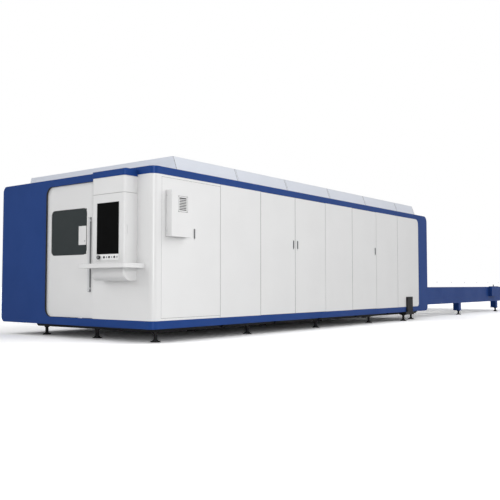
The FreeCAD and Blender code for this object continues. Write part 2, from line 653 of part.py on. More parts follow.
def build_roof():
    """Deck strips round the cabin top and the raised covers that stand on them."""
    z = (f"{CABIN_TOP} - deck_depth", CABIN_TOP)
    y = ("shell_depth + face_gap", f"{LEFT_FACE} - face_gap")
    front = rounded_block(("shell_depth + face_gap", "roof_start + deck_width"), y, z, "Z",
                          (("00",), "corner_radius - shell_depth - face_gap"))
    strips = [front,
              block(("roof_end - deck_width", "cabin_length - column_radius_top"), y, z)]
    middle = ("roof_start + deck_width", "roof_end - deck_width")
    strips += [block(middle, (y[0], "deck_width"), z),
               block(middle, ("cabin_width - deck_width", y[1]), z)]
    node("top_deck", group(*strips))
    covers = []
    joints = ["roof_start", *[f"roof_start + roof_joint_{number}" for number in range(1, 6)],
              "roof_end"]
    low = ("roof_setback", "cabin_width - roof_setback")
    high = ("roof_setback + roof_lean", "cabin_width - roof_setback - roof_lean")
    level = (CABIN_TOP, f"{CABIN_TOP} + roof_height")
    for start, end in zip(joints[:-1], joints[1:]):
        x = (f"{start} + roof_gap / 2", f"{end} - roof_gap / 2")
        outer = wedge(x, low, high, level)
        inner = wedge((f"{x[0]} + skin", f"{x[1]} - skin"),
                      (f"{low[0]} + 2 * skin", f"{low[1]} - 2 * skin"),
                      (f"{high[0]} + 2 * skin", f"{high[1]} - 2 * skin"),
                      (f"{level[0]} - skin", f"{level[1]} - skin"))
        covers.append(cut(outer, inner))
    node("roof_covers", group(*covers))


def build_hinge_pins():
    """Upright pins that the side doors turn on, standing on the sill and hanging below."""
    pins = []
    margin = {"cabinet": "cabinet_margin"}
    for place_x, name in ((f"{CABINET_END} - pin_inset", "cabinet"),
                          ("seam_2 + seam / 2 + pin_inset", "a"),
                          ("seam_4 - seam / 2 - pin_inset", "b"),
                          ("seam_5 + seam / 2 + pin_inset", "c")):
        inset = margin.get(name, "0")
        pins.append(rod((place_x, "pin_inset", f"{SILL_TOP} + {inset}"), "pin_radius",
                        "pin_height"))
        pins.append(rod((place_x, "pin_inset", f"{BAND_LOW} - {inset} - pin_height"),
                        "pin_radius", "pin_height"))
    node("hinge_pins", group(*pins))


def door_leaf(x, z, pin_x):
    """A folded door leaf with bores for its pins in the top and bottom returns."""
    leaf = pan(x, ("0", "door_depth"), z, "-Y")
    bore = rod((pin_x, "pin_inset", f"{z[0]} - skin"), "pin_radius + bore_clearance",
               f"{z[1]} - ({z[0]}) + 2 * skin")
    return cut(leaf, bore)


def lift_handle(start, low):
    """A slim upright handle that lifts away from the door about its top edge."""
    outer = block((start, f"{start} + handle_width"), ("-handle_depth", "-face_gap"),
                  (low, f"{low} + handle_height"))
    return outer


def build_side_doors():
    """The cabinet door and the three service doors, each with its handle."""
    z = (f"{SILL_TOP} + cabinet_margin + door_clearance",
         f"{BAND_LOW} - cabinet_margin - door_clearance")
    pin_x = f"{CABINET_END} - pin_inset"
    leaf = door_leaf(("cabinet_door_start", CABINET_END), z, pin_x)
    duct = block(("vent_start", "vent_start + vent_width"), ("-skin", "door_depth"),
                 (f"{COOLER_LOW} + vent_frame", f"{COOLER_LOW} + vent_frame + duct_height"))
    node("cabinet_door", cut(leaf, duct))
    node("cabinet_handle", lift_handle("cabinet_handle_start", "cabinet_handle_low"))
    z = (f"{SILL_TOP} + door_clearance", f"{BAND_LOW} - door_clearance")
    for name, low, high, hinge in (("a", "seam_2", "seam_3", "low"),
                                   ("b", "seam_3", "seam_4", "high"),
                                   ("c", "seam_5", "seam_6", "low")):
        x = (f"{low} + seam / 2", f"{high} - seam / 2")
        if hinge == "low":
            pin_x, start = f"{x[0]} + pin_inset", f"{x[1]} - handle_inset"
        else:
            pin_x, start = f"{x[1]} - pin_inset", f"{x[0]} + handle_inset"
        node(f"service_door_{name}", door_leaf(x, z, pin_x))
        node(f"service_handle_{name}", lift_handle(start, "handle_low"))


def build_cooler():
    """The cabinet cooler: housing, louvred grille and fan."""
    x = ("cooler_start", "cooler_start + cooler_width")
    y = ("-cooler_depth", "0")
    z = (COOLER_LOW, f"{COOLER_LOW} + cooler_height")
    vent = block(("vent_start", "vent_start + vent_width"),
                 ("-cooler_depth - skin", "skin - cooler_depth"),
                 (VENT_LOW, f"{VENT_LOW} + vent_height"))
    middle = ("vent_start + vent_width / 2", f"{VENT_LOW} + vent_height / 2")
    depth = "(10 * skin - cooler_depth)"
    motor_start = f"({depth} + fan_depth + fan_gap)"
    motor = rod((middle[0], motor_start, middle[1]), "fan_motor_radius",
                f"-{motor_start}", "Y")
    bore = rod((middle[0], f"{motor_start} - skin", middle[1]),
               "fan_shaft_radius + bore_clearance", "fan_depth + 2 * skin", "Y")
    node("cooler_housing", group(cut(pan(x, y, z, "-Y"), vent), cut(motor, bore)))
    plate = block(("vent_start + face_gap", "vent_start + vent_width - face_gap"),
                  ("-cooler_depth", "3 * skin - cooler_depth"),
                  (f"{VENT_LOW} + face_gap", f"{VENT_LOW} + vent_height - face_gap"))
    slots = []
    for index in range(LOUVRE_COUNT):
        low = f"{VENT_LOW} + vent_frame + {index} * louvre_pitch"
        slots.append(block(("vent_start + vent_frame", "vent_start + vent_width - vent_frame"),
                           ("-cooler_depth - skin", "4 * skin - cooler_depth"),
                           (low, f"{low} + louvre_height")))
    node("cooler_grille", cut(plate, *slots))
    hub = rod((middle[0], depth, middle[1]), "fan_hub_radius", "fan_depth", "Y")
    blades = []
    for index in range(BLADE_COUNT):
        blade = block(("-handle_width / 2", "handle_width / 2"), ("0", "skin"),
                      ("fan_hub_radius / 2", "fan_radius"))
        blade.Placement.Rotation = FreeCAD.Rotation()
        turned = group(blade)
        turned.Placement.Rotation = FreeCAD.Rotation(FreeCAD.Vector(0, 1, 0),
                                                     index * 360 / BLADE_COUNT)
        place(turned, middle[0], f"{depth} + fan_depth / 2", middle[1])
        blades.append(turned)
    shaft = rod((middle[0], f"{depth} + fan_depth", middle[1]), "fan_shaft_radius",
                "fan_depth", "Y")
    node("cooler_fan", fuse(hub, shaft, *blades))


def build_sliding_door():
    """The front sliding door with its window, bar handle, lock, shoes and rail."""
    x = (SLIDE_FACE, f"{SLIDE_FACE} + slide_door_depth")
    y = ("slide_door_start - slide_door_overlap", "front_panel_start + slide_door_overlap")
    z = (f"{SILL_TOP} + slide_door_gap", f"{BAND_LOW} - slide_door_gap")
    window = rounded_block((f"{SLIDE_FACE} - skin", f"{SLIDE_FACE} + 2 * skin"),
                           ("window_start", "window_start + window_width"),
                           (WINDOW_LOW, f"{WINDOW_LOW} + window_height"), "X",
                           (("10", "11"), "window_radius"))
    node("sliding_door", cut(pan(x, y, z, "-X"), window))
    back = f"({SLIDE_FACE} + skin)"
    node("door_window", rounded_block(
        (back, f"{back} + glass_depth"),
        ("window_start - window_lap", "window_start + window_width + window_lap"),
        (f"{WINDOW_LOW} - window_lap", f"{WINDOW_LOW} + window_height + window_lap"), "X",
        (("10", "11"), "window_radius + window_lap")))
    face = f"({SLIDE_FACE} - bar_standoff)"
    across = ("bar_start", "bar_start + bar_width")
    bar = rounded_block((f"{face} - bar_depth", face), across,
                        ("bar_low", "bar_low + bar_height"), "Z",
                        (("00", "01"), "bar_depth / 3"))
    stands = [block((face, SLIDE_FACE), across, span)
              for span in (("bar_low + bar_width", "bar_low + 2 * bar_width"),
                           ("bar_low + bar_height - 2 * bar_width",
                            "bar_low + bar_height - bar_width"))]
    node("door_handle", fuse(bar, *stands))
    lock_start = "(window_start + lock_gap)"
    node("door_lock", block((f"{SLIDE_FACE} - lock_depth", back),
                            (lock_start, f"{lock_start} + lock_width"),
                            (LOCK_LOW, f"{LOCK_LOW} + lock_height")))
    head = (f"{x[0]} + rail_web", f"{x[1]} - rail_web")
    back_post = f"(2 * {SLIDE_FACE} + tube_width / 2)"
    rail_y = ("slide_door_start - slide_door_overlap", f"{LEFT_FACE} - tube_width")
    level = (RAIL_LOW, f"{RAIL_LOW} + rail_head")
    web = (f"{RAIL_LOW} + rail_web", f"{RAIL_LOW} + 2 * rail_web")
    node("door_rail", fuse(block(head, rail_y, level), block((head[1], back_post),
                                                            rail_y, web)))
    shoes = []
    for start in (f"{y[0]} + shoe_inset", f"{y[1]} - shoe_inset - shoe_length"):
        span = (start, f"{start} + shoe_length")
        body = block((f"{x[0]} + skin", x[1]), span, (z[1], f"{level[1]} + rail_web"))
        room = block((f"{head[0]} - face_gap", f"{head[1]} + face_gap"), span,
                     (f"{level[0]} - face_gap", f"{level[1]} + face_gap"))
        throat = block((head[1], f"{x[1]} + skin"), span,
                       (f"{web[0]} - face_gap", f"{web[1]} + face_gap"))
        shoes.append(cut(body, room, throat))
    node("door_shoes", group(*shoes))


def console_form(margin, z):
    """The console's outer form, shrunk by a margin: round front edges, round foot."""
    x = (f"{margin} - console_depth", "0")
    y = (f"console_start + {margin}", f"console_start + console_width - ({margin})")
    return rounded_block(x, y, z, "Z", (("00", "01"), f"console_radius - ({margin})"))


def build_console():
    """Operator console: housing, head, crown, screen, keyboard tray and push buttons."""
    z = (CONSOLE_LOW, f"{CONSOLE_SPLIT} - console_seam")
    tall = (f"{z[0]} + console_wall", f"{z[1]} - console_wall")
    foot = rounded_block(("-console_depth", "0"),
                         ("console_start - skin", "console_start + console_width + skin"),
                         z, "Y", (("00",), "console_foot_radius"))
    foot_inner = rounded_block(("console_wall - console_depth", "0"),
                               ("console_start - skin",
                                "console_start + console_width + skin"), tall, "Y",
                               (("00",), "console_foot_radius - console_wall"))
    outer = common(console_form("0", z), foot)
    inner = common(console_form("console_wall", tall), foot_inner)
    screen_y = ("screen_start", "screen_start + screen_width")
    opening = block(("-console_depth - skin", "2 * console_wall - console_depth"), screen_y,
                    (PANEL_LOW, f"{SCREEN_LOW} + screen_height"))
    node("console_housing", cut(outer, inner, opening))
    z = (CONSOLE_SPLIT, f"{CROWN_LOW} - face_gap")
    tall = (f"{z[0]} + console_wall", f"{z[1]} - console_wall")
    node("console_head", cut(console_form("0", z), console_form("console_wall", tall)))
    z = (CROWN_LOW, f"{CROWN_LOW} + crown_height")
    tall = (f"{z[0]} + console_wall", f"{z[1]} - console_wall")
    brow = rounded_block(("-console_depth - crown_lip", "0"),
                         ("console_start - crown_lip - skin",
                          "console_start + console_width + crown_lip + skin"),
                         z, "Y", (("01",), "crown_radius"))
    node("console_crown", cut(common(console_form("-crown_lip", z), brow),
                              block(("crown_radius - console_depth", "0"),
                                    ("console_start + console_wall",
                                     "console_start + console_width - console_wall"), tall)))
    front = "(-console_depth)"
    gap = "face_gap"
    inset_y = (f"{screen_y[0]} + {gap}", f"{screen_y[1]} - {gap}")
    node("screen", block((front, f"{front} + screen_depth"), inset_y,
                         (f"{SCREEN_LOW} + {gap}", f"{SCREEN_LOW} + screen_height - {gap}")))
    middle = f"({PANEL_LOW} + button_panel_height / 2)"
    plate_x = (front, f"{front} + button_panel_depth")
    plate = block(plate_x, inset_y, (f"{PANEL_LOW} + {gap}", f"{SCREEN_LOW} - {gap}"))
    holes, buttons, lamps = [], [], []
    for index in range(BUTTON_COUNT):
        place_y = f"button_first + {2 * index} * button_pitch"
        holes.append(rod((f"{front} - skin", place_y, middle),
                         "button_radius + button_clearance", "4 * button_panel_depth", "X"))
        buttons.append(rod((f"{front} - button_proud", place_y, middle), "button_radius",
                           "button_length", "X"))
    for index in range(LAMP_COUNT):
        place_y = f"button_first + {2 * index - 1} * button_pitch"
        lamps.append(rod((f"{front} - button_proud / 2", place_y, middle), "lamp_radius",
                         "button_proud / 2", "X"))
    holes.append(rod((f"{front} - skin", "stop_place", middle),
                     "stop_stem_radius + button_clearance", "4 * button_panel_depth", "X"))
    node("button_panel", cut(plate, *holes))
    node("indicator_lamps", group(*lamps))
    for index, button in enumerate(buttons, start=1):
        node(f"push_button_{index}", button)
    head = rod((f"{front} - stop_gap - stop_head_depth", "stop_place", middle),
               "stop_radius", "stop_head_depth", "X")
    stem = rod((f"{front} - stop_gap", "stop_place", middle), "stop_stem_radius",
               "stop_gap + button_length", "X")
    node("emergency_stop", fuse(head, stem))
    z = (TRAY_LOW, f"{TRAY_LOW} + tray_height")
    y = ("tray_start", "tray_start + tray_width")
    tray = rounded_block(("-tray_reach", "0"), y, z, "Z", (("00", "01"), "tray_radius"))
    notch = block((front, "skin"), ("console_start", "console_start + console_width"),
                  (f"{z[0]} - skin", f"{z[1]} + skin"))
    under = block(("tray_radius - tray_reach", f"{front} - console_wall"),
                  (f"{y[0]} + console_wall", f"{y[1]} - console_wall"),
                  (f"{z[0]} - skin", f"{z[1]} - console_wall"))
    node("keyboard_tray", cut(tray, notch, under))


def build_gantry():
    """The gantry beam on its saddles, the cross carriage and the cutting head."""
    x = ("gantry_place - gantry_depth / 2", "gantry_place + gantry_depth / 2")
    y = ("bed_inset", BED_FAR)
    z = (GANTRY_LOW, f"{GANTRY_LOW} + gantry_height")
    beam = block(x, y, z)
    hollow = block((f"{x[0]} + gantry_wall", f"{x[1]} - gantry_wall"), y,
                   (f"{z[0]} + gantry_wall", f"{z[1]} - gantry_wall"))
    saddle_x = ("gantry_place - saddle_length / 2", "gantry_place + saddle_length / 2")
    saddle_z = (f"{RAIL_TOP} + face_gap", z[0])
    rail_y = ("bed_inset + rack_width + runner_gap", BED_INNER)
    saddles = [block(saddle_x, span, saddle_z) for span in (rail_y, far_side(rail_y))]
    node("gantry_beam", fuse(cut(beam, hollow), *saddles))
    rails = []
    rail_x = (x[1], f"{x[1]} + cross_rail_height")
    for low in (f"{z[0]} + cross_rail_height", f"{z[1]} - 2 * cross_rail_height"):
        rails.append(block(rail_x, y, (low, f"{low} + cross_rail_height")))
    node("cross_rails", group(*rails))
    carriage_x = (f"{rail_x[1]} + face_gap", f"{rail_x[1]} + face_gap + carriage_depth")
    carriage_y = ("carriage_place - carriage_width / 2",
                  "carriage_place + carriage_width / 2")
    node("cross_carriage", block(carriage_x, carriage_y, (z[0], f"{z[1]} + carriage_depth")))
    head_x = f"({carriage_x[1]} + face_gap + carriage_depth + head_radius)"
    slide = block((f"{carriage_x[1]} + face_gap", head_x),
                  ("carriage_place - head_radius", "carriage_place + head_radius"),
                  (f"{NOZZLE_TIP} + nozzle_length + head_radius",
                   f"{NOZZLE_TIP} + nozzle_length + head_length"))
    low = f"({NOZZLE_TIP} + nozzle_length)"
    head = rod((head_x, "carriage_place", low), "head_radius", "head_length")
    nozzle = cone((head_x, "carriage_place", NOZZLE_TIP), "nozzle_radius", "head_radius",
                  "nozzle_length")
    node("cutting_head", fuse(slide, head, nozzle))


def build_equipment():
    """The laser source and the drive modules on their mounting plate."""
    y = ("source_inset", "source_inset + source_width")
    floor = "(floor_gap + floor_depth)"
    z = (floor, f"{floor} + source_height")
    node("laser_source", rounded_block(("source_start", "source_start + source_length"), y,
                                       z, "Z", (("00", "01", "10", "11"), "tube_width / 4")))
    x = ("plate_start", "plate_start + plate_length")
    plate = block(x, ("plate_inset", "plate_inset + skin"),
                  (floor, f"{floor} + source_height + 2 * module_height"))
    modules = []
    for index in range(MODULE_COUNT):
        start = f"plate_start + {index} * module_pitch + tube_width / 2"
        low = f"({floor} + source_height)"
        modules.append(block((start, f"{start} + module_width"),
                             ("plate_inset - module_depth", "plate_inset"),
                             (low, f"{low} + module_height")))
    node("drive_modules", group(plate, *modules))


def check_and_write():
    """Refuse a failed or empty piece, then write each one to its own file."""
    for item in doc.Objects:
        if "Invalid" in item.State or "Error" in item.State:
            owners = [owner.Label for owner in item.InList]
            raise RuntimeError(f"{item.Name} of {owners} failed: {item.State}")
    for item in nodes:
        if item.Shape.isNull() or not item.Shape.isValid() or not item.Shape.Solids:
            raise RuntimeError(f"{item.Label} has no valid shape")
    os.makedirs("parts", exist_ok=True)
    for item in nodes:
        item.Shape.exportStep(f"parts/{item.Label}.step")


fill_sheet()
build_underframe()
build_feet()
build_side_bracket()
build_bed()
build_pallet_rails()
build_pallet("upper_pallet", "pallet_start", "0")
build_pallet("lower_pallet", "(pallet_start + pallet_travel)", "level_gap")
build_table()
build_frame()
build_ribbons()
build_walls()
build_rear_wall()
build_roof()
build_hinge_pins()
build_side_doors()
build_cooler()
build_sliding_door()
build_console()
build_gantry()
build_equipment()
doc.recompute()
check_and_write()
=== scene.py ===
import json
import logging
import math
from dataclasses import dataclass
from enum import Enum
from typing import Callable, Iterable, Sequence

import bmesh
import bpy
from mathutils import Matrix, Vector


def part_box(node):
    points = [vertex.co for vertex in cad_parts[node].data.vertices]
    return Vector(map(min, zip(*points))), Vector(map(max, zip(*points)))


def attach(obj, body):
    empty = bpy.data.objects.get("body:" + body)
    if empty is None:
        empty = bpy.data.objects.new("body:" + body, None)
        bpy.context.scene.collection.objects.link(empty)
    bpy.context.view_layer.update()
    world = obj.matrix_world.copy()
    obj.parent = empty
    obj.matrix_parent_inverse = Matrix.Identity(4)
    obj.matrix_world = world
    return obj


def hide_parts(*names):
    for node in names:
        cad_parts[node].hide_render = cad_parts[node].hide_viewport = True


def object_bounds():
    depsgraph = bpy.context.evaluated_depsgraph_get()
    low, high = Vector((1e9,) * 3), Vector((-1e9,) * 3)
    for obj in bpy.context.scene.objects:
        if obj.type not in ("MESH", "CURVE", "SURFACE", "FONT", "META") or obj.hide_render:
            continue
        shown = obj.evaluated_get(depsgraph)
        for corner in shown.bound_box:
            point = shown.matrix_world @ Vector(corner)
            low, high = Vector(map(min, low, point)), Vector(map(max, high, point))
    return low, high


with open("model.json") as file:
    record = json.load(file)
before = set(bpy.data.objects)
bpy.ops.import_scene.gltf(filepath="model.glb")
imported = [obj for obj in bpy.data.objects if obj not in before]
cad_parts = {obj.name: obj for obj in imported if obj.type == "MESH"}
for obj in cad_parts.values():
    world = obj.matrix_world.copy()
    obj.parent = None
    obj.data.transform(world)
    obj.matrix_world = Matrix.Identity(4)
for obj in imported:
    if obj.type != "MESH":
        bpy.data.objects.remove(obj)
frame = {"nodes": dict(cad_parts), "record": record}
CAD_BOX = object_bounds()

LOG = logging.getLogger("laser_cutting_machine")
MM = 0.001

Colour = tuple[float, float, float]
Point = tuple[float, float, float]
Box = tuple[Vector, Vector]


class Body(str, Enum):
    """Moving and fixed groups of the machine that a piece can ride on."""

    MACHINE = "machine"
    FRONT_DOOR = "front_door"
    CABINET_LEAF = "cabinet_leaf"
    LEAF_A = "leaf_a"
    LEAF_B = "leaf_b"
    LEAF_C = "leaf_c"
    FAN = "fan"
    GANTRY = "gantry"
    CARRIAGE = "carriage"
    HEAD = "head"
    TOP_PALLET = "top_pallet"
    BOTTOM_PALLET = "bottom_pallet"
    STOP_BUTTON = "stop_button"


class Slot(str, Enum):
    """Material slots of the record."""

    BLUE = "blue_paint"
    WHITE = "white_paint"
    ROOF = "roof_paint"
    BLACK = "black_paint"
    FRAME = "frame_paint"
    STEEL = "bright_steel"
    PALLET = "pallet_steel"
    ALUMINIUM = "machined_aluminium"
    GREY = "grey_plastic"
    GLASS = "window_glass"
    DARK = "black_plastic"
    LAMP = "lamp_plastic"
    SOURCE = "source_paint"


class Axis(Enum):
    """Direction that a turned or extruded shape runs along."""

    X = 0
    Y = 1
    Z = 2


# ---------------------------------------------------------------- node trees


class Graph:
    """Short-hand for filling one node tree."""

    def __init__(self, tree: bpy.types.NodeTree) -> None:
        """Keep the tree that the nodes go into."""
        self.tree = tree

    def node(self, kind: str, inputs: dict | None = None, **settings: object) -> bpy.types.Node:
        """Add a node, set its properties, and fill or link its inputs.

        Args:
            kind: type name of the node.
            inputs: values or output sockets by input name or index.
            settings: properties of the node itself.

        Returns:
            The new node.
        """
        node = self.tree.nodes.new(kind)
        for name, value in settings.items():
            setattr(node, name, value)
        for key, value in (inputs or {}).items():
            socket = node.inputs[key]
            if isinstance(value, bpy.types.NodeSocket):
                self.tree.links.new(value, socket)
            else:
                socket.default_value = value
        return node

    def math(self, operation: str, first: object, second: object = 0.0) -> bpy.types.NodeSocket:
        """Add a math node and return its result."""
        node = self.node("ShaderNodeMath", {0: first, 1: second}, operation=operation)
        return node.outputs[0]

    def spread(self, value: object, factor: float, base: float) -> bpy.types.NodeSocket:
        """Scale a value and add a base to it."""
        node = self.node("ShaderNodeMath", {0: value, 1: factor, 2: base},
                         operation="MULTIPLY_ADD")
        return node.outputs[0]

    def group(self, tree: bpy.types.NodeTree, inputs: dict) -> bpy.types.Node:
        """Place a shader group with its inputs filled."""
        return self.node("ShaderNodeGroup", inputs, node_tree=tree)

    def mix(self, share: object, first: object, second: object) -> bpy.types.NodeSocket:
        """Mix two colours and return the result."""
        node = self.node("ShaderNodeMix", {0: share, 6: first, 7: second}, data_type="RGBA")
        return node.outputs[2]

    def ramp(self, value: object, low: float, high: float) -> bpy.types.NodeSocket:
        """Spread a value between two limits over 0 to 1, smoothly."""
        node = self.node("ShaderNodeMapRange", {0: value, 1: low, 2: high},
                         interpolation_type="SMOOTHSTEP")
        return node.outputs[0]

    def noise(self, vector: object, scale: float, detail: float = 2.0) -> bpy.types.NodeSocket:
        """Add a noise texture and return its value."""
        node = self.node("ShaderNodeTexNoise", {"Vector": vector, "Scale": scale, "Detail": detail})
        return node.outputs[0]


def rgba(colour: Colour) -> tuple[float, float, float, float]:
    """Add full opacity to a colour."""
    return (*colour, 1.0)


@dataclass(frozen=True)
class Port:
    """One socket of a node group."""

    name: str
    kind: str
    value: object = None


def node_group(name: str, tree_type: str, inputs: Sequence[Port], outputs: Sequence[Port],
               fill: Callable[[Graph, dict, bpy.types.Node], None]) -> bpy.types.NodeTree:
    """Build a node group once and reuse it afterwards.

    Args:
        name: name of the group.
        tree_type: kind of tree, shader or geometry.
        inputs: sockets that the group takes.
        outputs: sockets that the group gives.
        fill: function that adds the nodes between them.

    Returns:
        The group.
    """
    found = bpy.data.node_groups.get(name)
    if found:
        return found
    tree = bpy.data.node_groups.new(name, tree_type)
    for direction, ports in (("INPUT", inputs), ("OUTPUT", outputs)):
        for port in ports:
            socket = tree.interface.new_socket(name=port.name, in_out=direction,
                                               socket_type=port.kind)
            if port.value is not None:
                socket.default_value = port.value
    entry = tree.nodes.new("NodeGroupInput")
    exit_node = tree.nodes.new("NodeGroupOutput")
    fill(Graph(tree), {port.name: entry.outputs[port.name] for port in inputs}, exit_node)
    return tree


FLOAT = "NodeSocketFloat"
VECTOR = "NodeSocketVector"


def coat_grain() -> bpy.types.NodeTree:
    """Group for the fine texture and slight unevenness of a sprayed or moulded surface."""
    def fill(graph: Graph, ports: dict, out: bpy.types.Node) -> None:
        """Mix a fine grain with broad cloudy patches."""
        fine = graph.node("ShaderNodeTexNoise", {"Vector": ports["Vector"],
                                                 "Scale": ports["Grain Scale"], "Detail": 3.0})
        broad = graph.noise(ports["Vector"], 1.7, 4.0)
        cloud = graph.ramp(broad, 0.35, 0.65)
        graph.tree.links.new(fine.outputs[0], out.inputs["Height"])
        graph.tree.links.new(cloud, out.inputs["Cloud"])
        graph.tree.links.new(fine.outputs[0], out.inputs["Grain"])
    return node_group("coat_grain", "ShaderNodeTree",
                      (Port("Vector", VECTOR), Port("Grain Scale", FLOAT, 500.0)),
                      (Port("Height", FLOAT), Port("Cloud", FLOAT), Port("Grain", FLOAT)), fill)


def edge_wear() -> bpy.types.NodeTree:
    """Group that rounds the look of sharp edges and marks where they rub bare."""
    def fill(graph: Graph, ports: dict, out: bpy.types.Node) -> None:
        """Compare the rounded normal with the true one and break the mark up with noise."""
        bevel = graph.node("ShaderNodeBevel", {"Radius": ports["Radius"]}, samples=4)
        plain = graph.node("ShaderNodeNewGeometry")
        turn = graph.node("ShaderNodeVectorMath", {0: bevel.outputs[0], 1: plain.outputs["Normal"]},
                          operation="DOT_PRODUCT")
        edge = graph.ramp(graph.math("SUBTRACT", 1.0, turn.outputs["Value"]), 0.03, 0.2)
        patch = graph.ramp(graph.noise(ports["Vector"], 9.0, 5.0), 0.48, 0.66)
        mark = graph.math("MULTIPLY", graph.math("MULTIPLY", edge, patch), ports["Amount"])
        graph.tree.links.new(bevel.outputs[0], out.inputs["Normal"])
        graph.tree.links.new(mark, out.inputs["Mark"])
    return node_group("edge_wear", "ShaderNodeTree",
                      (Port("Vector", VECTOR), Port("Radius", FLOAT, 0.002),
                       Port("Amount", FLOAT, 0.3)),
                      (Port("Normal", VECTOR), Port("Mark", FLOAT)), fill)


def settled_dust() -> bpy.types.NodeTree:
    """Group for the thin dust that lies on faces that look up."""
    def fill(graph: Graph, ports: dict, out: bpy.types.Node) -> None:
        """Multiply how far a face looks up by a cloudy noise."""
        normal = graph.node("ShaderNodeNewGeometry").outputs["Normal"]
        height = graph.node("ShaderNodeSeparateXYZ", {0: normal}).outputs[2]
        upward = graph.ramp(height, 0.5, 0.98)
        patch = graph.ramp(graph.noise(ports["Vector"], 3.5, 6.0), 0.3, 0.75)
        dust = graph.math("MULTIPLY", graph.math("MULTIPLY", upward, patch), ports["Amount"])
        graph.tree.links.new(dust, out.inputs["Dust"])
    return node_group("settled_dust", "ShaderNodeTree",
                      (Port("Vector", VECTOR), Port("Amount", FLOAT, 0.2)),
                      (Port("Dust", FLOAT),), fill)


def fine_lines() -> bpy.types.NodeTree:
    """Group for the lines that grinding, brushing or rolling leave along one direction."""
    def fill(graph: Graph, ports: dict, out: bpy.types.Node) -> None:
        """Stretch a noise along the direction of the lines."""
        stretched = graph.node("ShaderNodeVectorMath", {0: ports["Vector"], 1: ports["Stretch"]},
                               operation="MULTIPLY")
        lines = graph.noise(stretched.outputs[0], 1.0, 4.0)
        graph.tree.links.new(lines, out.inputs["Lines"])
    return node_group("fine_lines", "ShaderNodeTree",
                      (Port("Vector", VECTOR), Port("Stretch", VECTOR, (4.0, 900.0, 900.0))),
                      (Port("Lines", FLOAT),), fill)


# ---------------------------------------------------------------- finishes


@dataclass(frozen=True)
class Finish:
    """A surface finish, named for its slot, that builds its material once."""

    slot: Slot
    colour: Colour
    roughness: float = 0.45
    edge_radius: float = 0.0025

    @property
    def name(self) -> str:
        """Name of the material, apart from the frame's plain one of the same slot."""
        return f"{self.slot.value}_finish"

    def shader(self, graph: Graph, vector: bpy.types.NodeSocket) -> dict:
        """Give the inputs of the surface shader; finishes override this."""
        return {"Base Color": rgba(self.colour), "Roughness": self.roughness}

    def material(self) -> bpy.types.Material:
        """Build the material, or return the one already built."""
        found = bpy.data.materials.get(self.name)
        if found:
            return found
        made = bpy.data.materials.new(self.name)
        made.use_nodes = True
        made.node_tree.nodes.clear()
        graph = Graph(made.node_tree)
        vector = graph.node("ShaderNodeTexCoord").outputs["Object"]
        surface = graph.node("ShaderNodeBsdfPrincipled", self.shader(graph, vector))
        graph.node("ShaderNodeOutputMaterial", {"Surface": surface.outputs[0]})
        made.diffuse_color = rgba(self.colour)
        return made

    def soft_edges(self, graph: Graph, vector: bpy.types.NodeSocket, amount: float) -> tuple:
        """Place the edge wear group and return its normal and its mark."""
        wear = graph.group(edge_wear(), {"Vector": vector, "Radius": self.edge_radius,
                                         "Amount": amount})
        return wear.outputs["Normal"], wear.outputs["Mark"]


@dataclass(frozen=True)
class PowderCoat(Finish):
    """Sprayed and baked paint on sheet metal or welded tube."""

    shade: Colour = (0.0, 0.0, 0.0)
    under: Colour = (0.30, 0.31, 0.33)
    grain_scale: float = 620.0
    grain_height: float = 0.00012
    wear: float = 0.12
    dust: float = 0.15
    dust_colour: Colour = (0.52, 0.50, 0.47)
    coat: float = 0.0
    metallic: float = 0.0
    specular: float = 0.5

    def shader(self, graph: Graph, vector: bpy.types.NodeSocket) -> dict:
        """Paint with orange peel, cloudy shade, rubbed edges and dust on top."""
        grain = graph.group(coat_grain(), {"Vector": vector, "Grain Scale": self.grain_scale})
        normal, mark = self.soft_edges(graph, vector, self.wear)
        dust = graph.group(settled_dust(), {"Vector": vector, "Amount": self.dust})
        paint = graph.mix(grain.outputs["Cloud"], rgba(self.colour), rgba(self.shade))
        worn = graph.mix(mark, paint, rgba(self.under))
        dusty = graph.mix(dust.outputs["Dust"], worn, rgba(self.dust_colour))
        shine = graph.spread(grain.outputs["Cloud"], 0.06, self.roughness)
        rough = graph.math("ADD", shine, graph.math("MULTIPLY", dust.outputs["Dust"], 0.4))
        bump = graph.node("ShaderNodeBump", {"Height": grain.outputs["Height"], "Normal": normal,
                                             "Distance": self.grain_height, "Strength": 0.6})
        return {"Base Color": dusty, "Roughness": rough, "Normal": bump.outputs[0],
                "Coat Weight": self.coat, "Coat Roughness": 0.2, "Metallic": self.metallic,
                "Specular IOR Level": self.specular}


@dataclass(frozen=True)
class BareMetal(Finish):
    """Ground, brushed or anodised metal with lines along one direction."""

    dark: Colour = (0.35, 0.36, 0.38)
    stretch: Point = (6.0, 900.0, 900.0)
    line_height: float = 0.00008
    metallic: float = 1.0

    def shader(self, graph: Graph, vector: bpy.types.NodeSocket) -> dict:
        """Metal whose shade and roughness follow fine lines."""
        lines = graph.group(fine_lines(), {"Vector": vector, "Stretch": self.stretch})
        normal, mark = self.soft_edges(graph, vector, 0.8)
        patch = graph.ramp(lines.outputs["Lines"], 0.3, 0.7)
        shade = graph.mix(patch, rgba(self.dark), rgba(self.colour))
        bright = graph.mix(mark, shade, rgba((0.85, 0.86, 0.88)))
        rough = graph.spread(patch, 0.12, self.roughness)
        bump = graph.node("ShaderNodeBump", {"Height": lines.outputs["Lines"], "Normal": normal,
                                             "Distance": self.line_height, "Strength": 0.4})
        return {"Base Color": bright, "Roughness": rough, "Metallic": self.metallic,
                "Normal": bump.outputs[0]}


